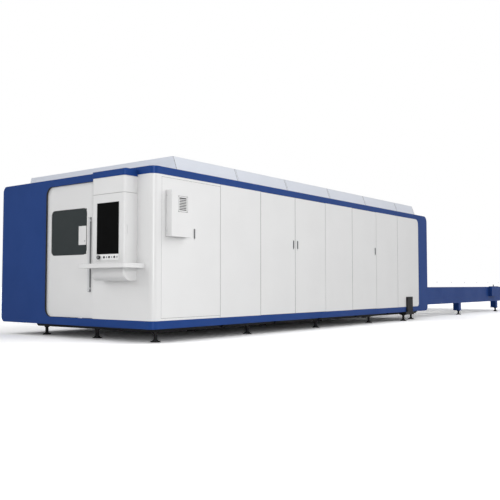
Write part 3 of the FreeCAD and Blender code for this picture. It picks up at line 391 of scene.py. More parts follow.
@dataclass(frozen=True)
class ScaledSteel(Finish):
    """Slat and pallet steel, dark with oxide and freckled with spatter."""

    oxide: Colour = (0.055, 0.045, 0.042)
    spatter: Colour = (0.30, 0.29, 0.27)

    def shader(self, graph: Graph, vector: bpy.types.NodeSocket) -> dict:
        """Mix oxide clouds and spatter freckles over the painted steel."""
        grain = graph.group(coat_grain(), {"Vector": vector, "Grain Scale": 240.0})
        normal, mark = self.soft_edges(graph, vector, 0.6)
        cloud = graph.ramp(graph.noise(vector, 7.0, 6.0), 0.42, 0.62)
        freckle = graph.ramp(grain.outputs["Grain"], 0.60, 0.68)
        base = graph.mix(cloud, rgba(self.colour), rgba(self.oxide))
        spotted = graph.mix(freckle, base, rgba(self.spatter))
        worn = graph.mix(mark, spotted, rgba((0.42, 0.42, 0.43)))
        metal = graph.math("MULTIPLY", mark, 0.8)
        bump = graph.node("ShaderNodeBump", {"Height": grain.outputs["Grain"], "Normal": normal,
                                             "Distance": 0.0004, "Strength": 0.5})
        return {"Base Color": worn, "Roughness": self.roughness, "Metallic": metal,
                "Normal": bump.outputs[0]}


@dataclass(frozen=True)
class Plastic(Finish):
    """Moulded plastic or rubber with a spark-eroded texture."""

    shade: Colour = (0.0, 0.0, 0.0)
    grain_scale: float = 900.0

    def shader(self, graph: Graph, vector: bpy.types.NodeSocket) -> dict:
        """Plastic with fine grain and a slightly uneven shade."""
        grain = graph.group(coat_grain(), {"Vector": vector, "Grain Scale": self.grain_scale})
        normal, _ = self.soft_edges(graph, vector, 0.0)
        body = graph.mix(grain.outputs["Cloud"], rgba(self.colour), rgba(self.shade))
        rough = graph.spread(grain.outputs["Grain"], 0.15, self.roughness)
        bump = graph.node("ShaderNodeBump", {"Height": grain.outputs["Height"], "Normal": normal,
                                             "Distance": 0.00015, "Strength": 0.5})
        return {"Base Color": body, "Roughness": rough, "Normal": bump.outputs[0]}


@dataclass(frozen=True)
class Pane(Finish):
    """Dark safety glass with a faint film of dust on it."""

    def shader(self, graph: Graph, vector: bpy.types.NodeSocket) -> dict:
        """Tinted glass whose film changes its colour and roughness a little."""
        film = graph.ramp(graph.noise(vector, 5.0, 6.0), 0.4, 0.7)
        tint = graph.mix(film, rgba(self.colour), rgba((0.032, 0.040, 0.042)))
        rough = graph.spread(film, 0.05, self.roughness)
        return {"Base Color": tint, "Roughness": rough, "Transmission Weight": 0.05,
                "Specular IOR Level": 0.22}


@dataclass(frozen=True)
class Display(Finish):
    """A switched-off touch screen behind matte glass."""

    def shader(self, graph: Graph, vector: bpy.types.NodeSocket) -> dict:
        """Nearly black glass with finger marks that only change its gloss."""
        marks = graph.ramp(graph.noise(vector, 11.0, 5.0), 0.45, 0.75)
        tint = graph.mix(marks, rgba(self.colour), rgba((0.0046, 0.0047, 0.0050)))
        rough = graph.spread(marks, 0.18, self.roughness)
        return {"Base Color": tint, "Roughness": rough, "Specular IOR Level": 0.03}

    @property
    def name(self) -> str:
        """Name of the material, apart from the slot's other plastic."""
        return "display_glass"


@dataclass(frozen=True)
class Lens(Finish):
    """Clear lens over a small lamp that is off."""

    def shader(self, graph: Graph, vector: bpy.types.NodeSocket) -> dict:
        """Pale lens with a ribbed look from a fine wave."""
        wave = graph.node("ShaderNodeTexWave", {"Vector": vector, "Scale": 160.0}).outputs[1]
        tint = graph.mix(wave, rgba(self.colour), rgba((0.30, 0.34, 0.36)))
        return {"Base Color": tint, "Roughness": self.roughness, "Coat Weight": 0.6,
                "Coat Roughness": 0.05}


@dataclass(frozen=True)
class Accent(Plastic):
    """A plastic of its own colour that shares another slot."""

    label: str = "accent"

    @property
    def name(self) -> str:
        """Name of the material."""
        return self.label


BLUE = PowderCoat(Slot.BLUE, (0.014, 0.058, 0.248), 0.40, shade=(0.012, 0.053, 0.232),
                  under=(0.05, 0.08, 0.20), wear=0.10, dust=0.04, metallic=0.15,
                  specular=0.1, coat=0.15)
WHITE = PowderCoat(Slot.WHITE, (0.80, 0.80, 0.80), 0.42, shade=(0.785, 0.785, 0.785),
                   under=(0.52, 0.52, 0.52), wear=0.05, dust=0.12, coat=0.6)
ROOF = PowderCoat(Slot.ROOF, (0.68, 0.71, 0.78), 0.45, shade=(0.66, 0.69, 0.76),
                  under=(0.50, 0.52, 0.55), wear=0.05, dust=0.18)
BLACK = PowderCoat(Slot.BLACK, (0.010, 0.010, 0.011), 0.55, shade=(0.007, 0.007, 0.008),
                   under=(0.10, 0.10, 0.10), wear=0.25, dust=0.25, dust_colour=(0.10, 0.10, 0.10))
FRAME = PowderCoat(Slot.FRAME, (0.33, 0.345, 0.37), 0.5, shade=(0.30, 0.315, 0.34),
                   under=(0.55, 0.55, 0.56), wear=0.35, dust=0.4)
SOURCE = PowderCoat(Slot.SOURCE, (0.26, 0.28, 0.32), 0.45, shade=(0.24, 0.26, 0.30), wear=0.1)
STEEL = BareMetal(Slot.STEEL, (0.60, 0.61, 0.63), 0.22, dark=(0.46, 0.47, 0.49))
ALUMINIUM = BareMetal(Slot.ALUMINIUM, (0.76, 0.77, 0.78), 0.38, dark=(0.70, 0.71, 0.72),
                      stretch=(700.0, 700.0, 4.0), metallic=0.45)
PALLET = ScaledSteel(Slot.PALLET, (0.10, 0.105, 0.115), 0.55)
GREY = Plastic(Slot.GREY, (0.24, 0.245, 0.25), 0.40, shade=(0.22, 0.225, 0.23))
DARK = Plastic(Slot.DARK, (0.013, 0.013, 0.014), 0.42, shade=(0.010, 0.010, 0.011))
GLASS = Pane(Slot.GLASS, (0.030, 0.038, 0.040), 0.10)
DISPLAY = Display(Slot.DARK, (0.0036, 0.0037, 0.0038), 0.30)
LAMP = Lens(Slot.LAMP, (0.50, 0.55, 0.57), 0.2)
RUBBER = Accent(Slot.DARK, (0.020, 0.020, 0.021), 0.6, shade=(0.016, 0.016, 0.017),
                label="seal_rubber")
SEAM = Accent(Slot.DARK, (0.16, 0.16, 0.165), 0.6, shade=(0.14, 0.14, 0.145),
              label="roof_sealant")
STRIP = Accent(Slot.WHITE, (0.93, 0.93, 0.93), 0.4, shade=(0.92, 0.92, 0.92),
               label="button_strip_white")
SLOT_FINISHES = {finish.slot.value: finish for finish in (
    BLUE, WHITE, ROOF, BLACK, FRAME, SOURCE, STEEL, ALUMINIUM, PALLET, GREY, DARK, GLASS, LAMP)}
NODE_FINISHES = {"screen": DISPLAY, "button_panel": STRIP}


# ---------------------------------------------------------------- shapes


def order(axis: Axis, along: float, across: float, upward: float) -> Vector:
    """Put a length along an axis and two lengths across it into X, Y, Z order.

    Args:
        axis: axis that the first length runs along.
        along: length along it.
        across: first length across it.
        upward: second length across it.

    Returns:
        The three lengths as a point.
    """
    return Vector({Axis.X: (along, across, upward), Axis.Y: (across, along, upward),
                   Axis.Z: (across, upward, along)}[axis])


def rounded_outline(low: tuple[float, float], high: tuple[float, float], radius: float,
                    steps: int = 6) -> list[tuple[float, float]]:
    """Points round a rectangle with rounded corners, in two coordinates.

    Args:
        low: lowest corner.
        high: highest corner.
        radius: radius of the corners.
        steps: segments in each corner.

    Returns:
        The points in order.
    """
    points = []
    centres = ((high[0] - radius, high[1] - radius, 0), (low[0] + radius, high[1] - radius, 1),
               (low[0] + radius, low[1] + radius, 2), (high[0] - radius, low[1] + radius, 3))
    for centre_a, centre_b, quarter in centres:
        for step in range(steps + 1):
            turn = (quarter + step / steps) * math.pi / 2
            points.append((centre_a + radius * math.cos(turn), centre_b + radius * math.sin(turn)))
    return points


class Shape:
    """A mesh put together from simple closed forms."""

    def __init__(self) -> None:
        """Start with no faces."""
        self.bm = bmesh.new()

    def box(self, low: Sequence[float], high: Sequence[float], round_by: float = 0.0) -> "Shape":
        """Add a box with rounded edges.

        Args:
            low: lowest corner.
            high: highest corner.
            round_by: radius of the edges, or 0 to keep them sharp.

        Returns:
            This shape.
        """
        made = bmesh.ops.create_cube(self.bm, size=1.0)["verts"]
        low, high = Vector(low), Vector(high)
        for vert in made:
            vert.co = Vector(low[i] + (vert.co[i] + 0.5) * (high[i] - low[i]) for i in range(3))
        if round_by:
            edges = list({edge for vert in made for edge in vert.link_edges})
            bmesh.ops.bevel(self.bm, geom=edges, offset=round_by, segments=2, profile=0.5,
                            affect="EDGES")
        return self

    def prism(self, outline: Sequence[tuple[float, float]], start: float, end: float,
              axis: Axis) -> "Shape":
        """Add an outline drawn out along an axis.

        Args:
            outline: points of the outline, in the two coordinates across the axis.
            start: where it starts along the axis.
            end: where it ends.
            axis: axis that it is drawn along.

        Returns:
            This shape.
        """
        rings = [[self.bm.verts.new(order(axis, level, a, b)) for a, b in outline]
                 for level in (start, end)]
        self.bm.faces.new(rings[0])
        self.bm.faces.new(list(reversed(rings[1])))
        self.bridge(rings)
        return self

    def bridge(self, rings: Sequence[Sequence[bmesh.types.BMVert]], closed: bool = False) -> None:
        """Join rings of points with faces.

        Args:
            rings: rings with equally many points.
            closed: whether the last ring is joined to the first.
        """
        count = len(rings[0])
        pairs = list(zip(rings[:-1], rings[1:]))
        if closed:
            pairs.append((rings[-1], rings[0]))
        for first, second in pairs:
            for index in range(count):
                after = (index + 1) % count
                self.bm.faces.new((first[index], first[after], second[after], second[index]))

    def border(self, low: tuple[float, float], high: tuple[float, float], radius: float,
               width: float, start: float, end: float, axis: Axis) -> "Shape":
        """Add a flat frame round a rounded opening.

        Args:
            low: lowest corner of the opening.
            high: highest corner of the opening.
            radius: radius of the opening's corners.
            width: width of the frame.
            start: where the frame starts along the axis.
            end: where it ends.
            axis: axis that the opening runs along.

        Returns:
            This shape.
        """
        inner = rounded_outline(low, high, radius)
        outer = rounded_outline((low[0] - width, low[1] - width),
                                (high[0] + width, high[1] + width), radius + width)
        rings = [[self.bm.verts.new(order(axis, level, a, b)) for a, b in outline]
                 for outline, level in ((inner, start), (outer, start), (outer, end), (inner, end))]
        self.bridge(rings, closed=True)
        return self

    def turned(self, profile: Sequence[tuple[float, float]], centre: Sequence[float], axis: Axis,
               segments: int = 24, loop: bool = False) -> "Shape":
        """Add a turned form.

        Args:
            profile: radius and height of each point, from one end to the other.
            centre: point that the heights start from.
            axis: axis of the form.
            segments: faces round it.
            loop: whether the profile closes on itself, as a ring's does.

        Returns:
            This shape.
        """
        rings = []
        for radius, height in profile:
            ring = []
            for index in range(segments):
                turn = 2 * math.pi * index / segments
                offset = order(axis, height, radius * math.cos(turn), radius * math.sin(turn))
                ring.append(self.bm.verts.new(Vector(centre) + offset))
            rings.append(ring)
        if not loop:
            self.bm.faces.new(rings[0])
            self.bm.faces.new(list(reversed(rings[-1])))
        self.bridge(rings, closed=loop)
        return self

    def mesh(self, name: str, smooth: bool = False) -> bpy.types.Mesh:
        """Finish the shape as a mesh with its faces outwards."""
        bmesh.ops.recalc_face_normals(self.bm, faces=self.bm.faces)
        made = bpy.data.meshes.new(name)
        self.bm.to_mesh(made)
        self.bm.free()
        if smooth:
            made.shade_smooth()
            made.set_sharp_from_angle(angle=math.radians(35))
        return made

    def place(self, name: str, finish: Finish, body: Body,
              smooth: bool = False) -> bpy.types.Object:
        """Finish the shape and put it into the scene as a piece.

        Args:
            name: name of the piece and of its mesh.
            finish: its finish.
            body: what it moves with.
            smooth: whether its faces are shaded smooth.

        Returns:
            The piece.
        """
        return show(name, self.mesh(name, smooth), finish, body)


def show(name: str, mesh: bpy.types.Mesh, finish: Finish, body: Body) -> bpy.types.Object:
    """Put a finished mesh into the scene as a piece that rides on a body.

    Args:
        name: name of the piece.
        mesh: its mesh, in place.
        finish: its finish.
        body: what it moves with.

    Returns:
        The piece.
    """
    piece = bpy.data.objects.new(name, mesh)
    bpy.context.scene.collection.objects.link(piece)
    mesh.materials.clear()
    mesh.materials.append(finish.material())
    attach(piece, body.value)
    LOG.info("%s: %d faces on %s in %s", name, len(mesh.polygons), body.value, finish.name)
    return piece


# ---------------------------------------------------------------- repeats


def repeat_on_points() -> bpy.types.NodeTree:
    """Geometry group that sets a copy of one part on every point it is given."""
    def fill(graph: Graph, ports: dict, out: bpy.types.Node) -> None:
        """Place the copies, make them real and give them their material."""
        part = graph.node("GeometryNodeObjectInfo", {"Object": ports["Part"]})
        copies = graph.node("GeometryNodeInstanceOnPoints", {
            "Points": ports["Geometry"], "Instance": part.outputs["Geometry"],
            "Rotation": ports["Turn"]})
        real = graph.node("GeometryNodeRealizeInstances", {0: copies.outputs[0]})
        dressed = graph.node("GeometryNodeSetMaterial", {
            "Geometry": real.outputs[0], "Material": ports["Material"]})
        graph.tree.links.new(dressed.outputs[0], out.inputs[0])
    return node_group("repeat_on_points", "GeometryNodeTree",
                      (Port("Geometry", "NodeSocketGeometry"), Port("Part", "NodeSocketObject"),
                       Port("Turn", VECTOR), Port("Material", "NodeSocketMaterial")),
                      (Port("Geometry", "NodeSocketGeometry"),), fill)


def repeat_in_rows() -> bpy.types.NodeTree:
    """Geometry group that sets copies of one part in rows, a step apart both ways."""
    def fill(graph: Graph, ports: dict, out: bpy.types.Node) -> None:
        """Lay a line of points, repeat it as rows, and set a copy on each point."""
        part = graph.node("GeometryNodeObjectInfo", {"Object": ports["Part"]})
        line = graph.node("GeometryNodeMeshLine", {
            "Count": ports["Count"], "Offset": ports["Step"]})
        rows = graph.node("GeometryNodeMeshLine", {
            "Count": ports["Rows"], "Start Location": ports["Start"],
            "Offset": ports["Row Step"]})
        grid = graph.node("GeometryNodeInstanceOnPoints", {
            "Points": rows.outputs[0], "Instance": line.outputs[0]})
        points = graph.node("GeometryNodeRealizeInstances", {0: grid.outputs[0]})
        copies = graph.node("GeometryNodeInstanceOnPoints", {
            "Points": points.outputs[0], "Instance": part.outputs["Geometry"],
            "Rotation": ports["Turn"]})
        real = graph.node("GeometryNodeRealizeInstances", {0: copies.outputs[0]})
        dressed = graph.node("GeometryNodeSetMaterial", {
            "Geometry": real.outputs[0], "Material": ports["Material"]})
        graph.tree.links.new(dressed.outputs[0], out.inputs[0])
    return node_group("repeat_in_rows", "GeometryNodeTree",
                      (Port("Geometry", "NodeSocketGeometry"), Port("Part", "NodeSocketObject"),
                       Port("Turn", VECTOR), Port("Start", VECTOR),
                       Port("Count", "NodeSocketInt", 1), Port("Step", VECTOR),
                       Port("Rows", "NodeSocketInt", 1), Port("Row Step", VECTOR),
                       Port("Material", "NodeSocketMaterial")),
                      (Port("Geometry", "NodeSocketGeometry"),), fill)


def evaluate(name: str, tree: bpy.types.NodeTree, points: Sequence[Sequence[float]],
             part: bpy.types.Mesh, values: dict[str, object]) -> bpy.types.Mesh:
    """Run a geometry group once and keep its result as a plain mesh.

    Args:
        name: name of the mesh.
        tree: the geometry group.
        points: points that the group starts from.
        part: mesh of the part that is repeated.
        values: values of the group's other inputs by name.

    Returns:
        The plain mesh.
    """
    source = bpy.data.objects.new(name + "_part", part)
    host_mesh = bpy.data.meshes.new(name + "_points")
    host_mesh.from_pydata([tuple(point) for point in points], [], [])
    host = bpy.data.objects.new(name + "_points", host_mesh)
    for item in (source, host):
        bpy.context.scene.collection.objects.link(item)
    modifier = host.modifiers.new("repeat", "NODES")
    modifier.node_group = tree
    for item in tree.interface.items_tree:
        if item.in_out != "INPUT" or item.socket_type == "NodeSocketGeometry":
            continue
        if item.name == "Part":
            modifier[item.identifier] = source
        elif item.name in values:
            modifier[item.identifier] = values[item.name]
    graph = bpy.context.evaluated_depsgraph_get()
    made = bpy.data.meshes.new_from_object(host.evaluated_get(graph))
    host.modifiers.remove(modifier)
    for item in (host, source):
        bpy.data.objects.remove(item)
    made.name = name
    return made


def on_points(name: str, points: Iterable[Sequence[float]], part: bpy.types.Mesh, finish: Finish,
              body: Body, turn: Point = (0.0, 0.0, 0.0)) -> bpy.types.Object:
    """Repeat a part on points as one piece, turned by the given angles."""
    mesh = evaluate(name, repeat_on_points(), list(points), part,
                    {"Turn": turn, "Material": finish.material()})
    return show(name, mesh, finish, body)


@dataclass(frozen=True)
class Rows:
    """How copies are laid out in rows."""

    start: Point
    count: int
    step: Point
    rows: int = 1
    row_step: Point = (0.0, 0.0, 0.0)


def in_rows(name: str, rows: Rows, part: bpy.types.Mesh, finish: Finish, body: Body,
            turn: Point = (0.0, 0.0, 0.0)) -> bpy.types.Object:
    """Repeat a part in rows as one piece, turned by the given angles."""
    values = {"Start": tuple(rows.start), "Count": rows.count, "Step": tuple(rows.step),
              "Rows": rows.rows, "Row Step": tuple(rows.row_step), "Turn": turn,
              "Material": finish.material()}
    mesh = evaluate(name, repeat_in_rows(), [(0.0, 0.0, 0.0)], part, values)
    return show(name, mesh, finish, body)


FACING = {"-X": (0.0, -math.pi / 2, 0.0), "+X": (0.0, math.pi / 2, 0.0),
          "-Y": (math.pi / 2, 0.0, 0.0), "+Y": (-math.pi / 2, 0.0, 0.0),
          "+Z": (0.0, 0.0, 0.0)}


def socket_screw(radius: float) -> bpy.types.Mesh:
    """A low cap screw with a socket in its head, facing +Z."""
    head = 0.55 * radius
    profile = ((radius, 0.0), (radius, 0.7 * head), (0.86 * radius, head), (0.5 * radius, head),
               (0.5 * radius, 0.4 * head))
    return turned_part("socket_screw", profile, 12)


def hex_nut(radius: float, depth: float) -> bpy.types.Mesh:
    """A plain hexagon nut or bolt head with its corners taken off, facing +Z."""
    profile = ((radius, 0.0), (radius, 0.8 * depth), (0.86 * radius, depth))
    return turned_part("hex_nut", profile, 6)


def turned_part(name: str, profile: Sequence[tuple[float, float]], segments: int,
                loop: bool = False, smooth: bool = False) -> bpy.types.Mesh:
    """Turn a small part that stands on the origin and faces +Z.

    Args:
        name: name of the mesh.
        profile: radius and height of each point.
        segments: faces round it.
        loop: whether the profile closes on itself.
        smooth: whether its faces are shaded smooth.

    Returns:
        The mesh.
    """
    return Shape().turned(profile, (0, 0, 0), Axis.Z, segments, loop).mesh(name, smooth)


def face_points(low: Vector, high: Vector, inset: float, level: float, axis: Axis = Axis.X,
                centre_row: bool = False) -> list[Point]:
    """Points near the corners of an upright face.

    Args:
        low: lowest corner of the box that has the face.
        high: highest corner of that box.
        inset: distance from the face's edges.
        level: place of the face along its axis.
        axis: axis that the face looks along, X or Y.
        centre_row: whether two points lie at half height too.

    Returns:
        The points.
    """
    across = 1 if axis is Axis.X else 0
    heights = [low.z + inset, high.z - inset]
    if centre_row:
        heights.insert(1, (low.z + high.z) / 2)
    return [(level, side, height) if axis is Axis.X else (side, level, height)
            for side in (low[across] + inset, high[across] - inset) for height in heights]


def solid_boxes(node: str) -> list[Box]:
    """Bounding box of each separate solid of a node, sorted by place.

    Args:
        node: name of the construction node.

    Returns:
        Lowest and highest corner of each solid.
    """
    mesh = frame["nodes"][node].data
    places: dict[tuple, int] = {}
    index = [places.setdefault(tuple(round(value, 5) for value in vert.co), len(places))
             for vert in mesh.vertices]
    parent = list(range(len(places)))

    def root(item: int) -> int:
        """Find the point that stands for an item's solid."""
        while parent[item] != item:
            parent[item] = parent[parent[item]]
            item = parent[item]
        return item

    for polygon in mesh.polygons:
        first = root(index[polygon.vertices[0]])
        for vertex in polygon.vertices[1:]:
            parent[root(index[vertex])] = first
    spans: dict[int, list[Vector]] = {}
    for place, item in places.items():
        low, high = spans.setdefault(root(item), [Vector(place), Vector(place)])
        for axis in range(3):
            low[axis] = min(low[axis], place[axis])
            high[axis] = max(high[axis], place[axis])
    return sorted(((low, high) for low, high in spans.values()), key=lambda box: tuple(box[0]))


def middle(box: Box) -> Vector:
    """Centre of a box."""
    return (box[0] + box[1]) / 2


# ---------------------------------------------------------------- sub-assemblies


@dataclass
class Console:
    """Operator console on the front: screen frame, button rims, side pull and shelf mat."""

    rim: float = 7 * MM
    proud: float = 3 * MM
    button_rim: float = 4 * MM
    rim_depth: float = 2.5 * MM
    pull_size: Point = (16 * MM, 9 * MM, 118 * MM)
    pull_inset: float = 52 * MM
    pull_low: float = 1.412
    screw_inset: float = 9 * MM
    mat_inset: float = 30 * MM

    def build(self) -> None:
        """Build every detail of the console."""
        self.screen_frame()
        self.button_rims()
        self.side_pull()
        self.stop_mark()
        self.shelf_mat()

    def screen_frame(self) -> None:
        """A slim white frame round the screen and the button strip."""
        low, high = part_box("screen")
        panel_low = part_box("button_panel")[0]
        shape = Shape().border((low.y, panel_low.z), (high.y, high.z), 1 * MM, self.rim,
                               low.x - self.proud, low.x - 0.1 * MM, Axis.X)
        shape.place("screen_frame", WHITE, Body.MACHINE)
        slot = Shape().border((low.y + 4 * MM, low.z + 4 * MM), (high.y - 4 * MM, high.z - 4 * MM),
                              2 * MM, 4 * MM, low.x - 0.8 * MM, low.x - 0.05 * MM, Axis.X)
        slot.place("screen_gasket", RUBBER, Body.MACHINE)

    def button_rims(self) -> None:
        """Turned rims round the buttons and lamps, and the strip's corner screws."""
        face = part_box("button_panel")[0].x
        buttons = [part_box(f"push_button_{number}") for number in (1, 2, 3)]
        radius = (buttons[0][1].y - buttons[0][0].y) / 2 + 0.6 * MM
        profile = ((radius, 0.0), (radius + self.button_rim, 0.0),
                   (radius + self.button_rim, 0.6 * self.rim_depth), (radius, self.rim_depth))
        rim = turned_part("rim", profile, 28, loop=True, smooth=True)
        on_points("button_rims", [(face, middle(box).y, middle(box).z) for box in buttons], rim,
                  DARK, Body.MACHINE, FACING["-X"])
        lamps = solid_boxes("indicator_lamps")
        radius = (lamps[0][1].y - lamps[0][0].y) / 2 + 0.3 * MM
        profile = ((radius, 0.0), (radius + 0.6 * self.button_rim, 0.0),
                   (radius + 0.6 * self.button_rim, 0.5 * self.rim_depth),
                   (radius, 0.7 * self.rim_depth))
        rim = turned_part("rim", profile, 20, loop=True, smooth=True)
        on_points("lamp_rims", [(face, middle(box).y, middle(box).z) for box in lamps], rim,
                  DARK, Body.MACHINE, FACING["-X"])
        low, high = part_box("button_panel")
        cap = turned_part("corner_screw", ((3 * MM, 0.0), (3 * MM, 1 * MM), (1.6 * MM, 1.8 * MM)),
                          12)
        corners = face_points(low, high, self.screw_inset, face)
        on_points("button_strip_screws", corners, cap, STEEL, Body.MACHINE, FACING["-X"])

    def side_pull(self) -> None:
        """The slim white pull on the console's right face."""
        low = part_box("console_housing")[0]
        start = low.x + self.pull_inset
        across, depth, tall = self.pull_size
        shape = Shape().box((start, low.y - depth, self.pull_low),
                            (start + across, low.y - 0.2 * MM, self.pull_low + tall), 3 * MM)
        shape.place("console_side_pull", WHITE, Body.MACHINE, smooth=True)

    def stop_mark(self) -> None:
        """Collar under the stop button, and the grey disc on its cap."""
        low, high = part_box("emergency_stop")
        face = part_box("button_panel")[0].x
        centre = (face, (low.y + high.y) / 2, (low.z + high.z) / 2)
        radius = (high.y - low.y) / 2
        collar = ((0.48 * radius, 0.0), (0.95 * radius, 0.0), (0.95 * radius, -1.2 * MM),
                  (0.70 * radius, -2.5 * MM), (0.48 * radius, -2.5 * MM))
        shape = Shape().turned(collar, centre, Axis.X, 32, loop=True)
        shape.place("stop_collar", DARK, Body.MACHINE, smooth=True)
        start = low.x - 1.2 * MM
        cap = ((0.72 * radius, 1.1 * MM), (0.72 * radius, 0.3 * MM), (0.5 * radius, 0.0))
        shape = Shape().turned(cap, (start, centre[1], centre[2]), Axis.X, 32)
        shape.place("stop_cap", GREY, Body.STOP_BUTTON, smooth=True)

    def shelf_mat(self) -> None:
        """A ribbed rubber mat on the keyboard shelf."""
        low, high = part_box("keyboard_tray")
        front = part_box("console_housing")[0].x
        inset = self.mat_inset
        shape = Shape().box((low.x + inset, low.y + inset, high.z + 0.1 * MM),
                            (front - inset, high.y - inset, high.z + 2 * MM), 0.6 * MM)
        shape.place("shelf_mat", RUBBER, Body.MACHINE)


@dataclass
class SlidingDoor:
    """Front sliding door: window gasket, handle backing and panel edge trim as painted shade, and
    lock details.
    """

    gasket_width: float = 7 * MM
    gasket_proud: float = 1.5 * MM
    window_radius: float = 65 * MM
    window_lap: float = 15 * MM
    backing: float = 7 * MM
    horn: float = 120 * MM
    notch_radius: float = 130 * MM
    opening_low: float = 295 * MM
    opening_high: float = 2190 * MM
    trim_thick: float = 3 * MM
    trim_depth: float = 25 * MM
    corner_steps: int = 12
    screw_inset: float = 12 * MM

    def build(self) -> None:
        """Build the door's details."""
        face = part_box("sliding_door")[0].x
        low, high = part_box("door_window")
        inner_low = (low.y + self.window_lap, low.z + self.window_lap)
        inner_high = (high.y - self.window_lap, high.z - self.window_lap)
        shape = Shape().border(inner_low, inner_high, self.window_radius, self.gasket_width,
                               face - self.gasket_proud, face - 0.05 * MM, Axis.X)
        shape.place("window_gasket", RUBBER, Body.FRONT_DOOR)
        self.handle_trim(face)
        self.lock_trim(face)
        self.opening_shade_trim()

    def opening_shade_trim(self) -> None:
        """A dark rubber edge round the cut-out of the blue front panel, as painted shade on the
        panel's return edge.
        """
        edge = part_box("front_side_panel")[0].y + self.horn
        bottom = self.opening_low
        top = self.opening_high
        radius = self.notch_radius
        path = []
        for quarter, level in ((-1, bottom + radius), (0, top - radius)):
            for step in range(self.corner_steps + 1):
                turn = (quarter + step / self.corner_steps) * math.pi / 2
                path.append((edge - radius + radius * math.cos(turn),
                             level + radius * math.sin(turn)))
        centre = (edge - radius, (bottom + top) / 2)
        inner = []
        for y, z in path:
            middle_z = min(max(z, bottom + radius), top - radius)
            away = Vector((y - centre[0], z - middle_z))
            away *= (radius - self.trim_thick) / radius
            inner.append((centre[0] + away.x, middle_z + away.y))
        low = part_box("front_side_panel")[0].x
        # Painted shade: the black strip darkens the cut-out's return edge, where the shade falls.
        shape = Shape().prism(path + inner[::-1], low + 0.4 * MM, low + self.trim_depth, Axis.X)
        shape.place("front_panel_trim", RUBBER, Body.MACHINE)

    def handle_trim(self, face: float) -> None:
        """A grey backing strip behind the bar, as painted shade beside it, and dark caps on its
        ends.
        """
        low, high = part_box("door_handle")
        # Painted shade: the grey strip shows round the bar as the dark lines of shade beside it.
        strip = Shape().box((face - 1.6 * MM, low.y - self.backing, low.z - self.backing),
                            (face - 0.05 * MM, high.y + self.backing, high.z + self.backing),
                            0.6 * MM)
        strip.place("handle_backing", GREY, Body.FRONT_DOOR)
        caps = Shape()
        for level in (low.z - 2 * MM, high.z):
            caps.box((low.x + 1 * MM, low.y + 1 * MM, level),
                     (low.x + 15 * MM, high.y - 1 * MM, level + 2 * MM), 0.5 * MM)
        caps.place("handle_caps", DARK, Body.FRONT_DOOR)

    def lock_trim(self, face: float) -> None:
        """The lock's key disc and its cover screws, kept nearly flush."""
        low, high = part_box("door_lock")
        disc = ((12 * MM, 0.3 * MM), (12 * MM, -0.4 * MM), (5 * MM, -0.4 * MM), (4 * MM, 0.2 * MM))
        centre = (low.x, low.y + 30 * MM, low.z + 52 * MM)
        shape = Shape().turned(disc, centre, Axis.X, 28)
        shape.place("lock_key_disc", STEEL, Body.FRONT_DOOR, smooth=True)
        flat = turned_part("flat_screw", ((4 * MM, 0.0), (4 * MM, 0.3 * MM), (2 * MM, 0.3 * MM),
                                          (2 * MM, 0.1 * MM)), 12)
        corners = face_points(low, high, self.screw_inset, low.x)
        on_points("lock_screws", corners, flat, STEEL, Body.FRONT_DOOR, FACING["-X"])


@dataclass
class Cooler:
    """Cabinet cooler: louvred grille with a black filter mat behind it as painted shade, screws and
    a gasket.
    """

    blade_height: float = 9 * MM
    blade_slant: float = 4 * MM
    blade_count: int = 7
    blade_pitch: float = 21 * MM
    vent_frame: float = 22 * MM
    vent_gap: float = 4 * MM
    recess: float = 0.4 * MM
    screw_lift: float = 70 * MM
    screw_back: float = 22 * MM
    screw_radius: float = 4.5 * MM

    def build(self) -> None:
        """Build the cooler's details."""
        self.grille()
        low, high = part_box("cooler_housing")
        back = high.y - self.screw_back
        for face, facing, side in ((low.x, "-X", "low"), (high.x, "+X", "high")):
            points = [(face, back, z) for z in (low.z + self.screw_lift, high.z - self.screw_lift)]
            on_points(f"cooler_screws_x_{side}", points, socket_screw(self.screw_radius), STEEL,
                      Body.CABINET_LEAF, FACING[facing])
        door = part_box("cabinet_door")[0].y
        gasket = Shape().border((low.x + 4 * MM, low.z + 4 * MM),
                                (high.x - 4 * MM, high.z - 4 * MM), 1 * MM, 6 * MM,
                                door - 0.3 * MM, door, Axis.Y)
        gasket.place("cooler_gasket", RUBBER, Body.CABINET_LEAF)

    def grille(self) -> None:
        """A louvred grille with a dark joint round it, and a black filter mat behind as painted
        shade in the slots and the joint.
        """
        low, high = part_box("cooler_grille")
        edge = self.vent_frame
        start, end = low.y + self.recess, high.y - self.recess
        plate = Shape().border((low.x + edge, low.z + edge), (high.x - edge, high.z - edge),
                               1 * MM, edge - self.vent_gap, start, end, Axis.Y)
        piece = plate.place("grille_frame", WHITE, Body.CABINET_LEAF)
        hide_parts("cooler_grille")
        half = (high.x - low.x) / 2 - edge
        tall, slant = self.blade_height, self.blade_slant
        blade = Shape().prism(((0.0, 0.0), (0.0, tall), (end - start, tall + slant),
                               (end - start, slant)), -half, half, Axis.X).mesh("blade")
        first = low.z + edge + self.blade_pitch - tall
        rows = Rows(((low.x + high.x) / 2, start, first), self.blade_count,
                    (0.0, 0.0, self.blade_pitch))
        in_rows("grille_blades", rows, blade, WHITE, Body.CABINET_LEAF)
        inset = 0.5 * MM
        # Painted shade: the black filter mat behind the blades darkens the slots and the joint
        # round the frame.
        mat = Shape().box((low.x + inset, end + 0.1 * MM, low.z + inset),
                          (high.x - inset, end + 2.5 * MM, high.z - inset), 0.3 * MM)
        mat.place("grille_filter", DARK, Body.CABINET_LEAF)


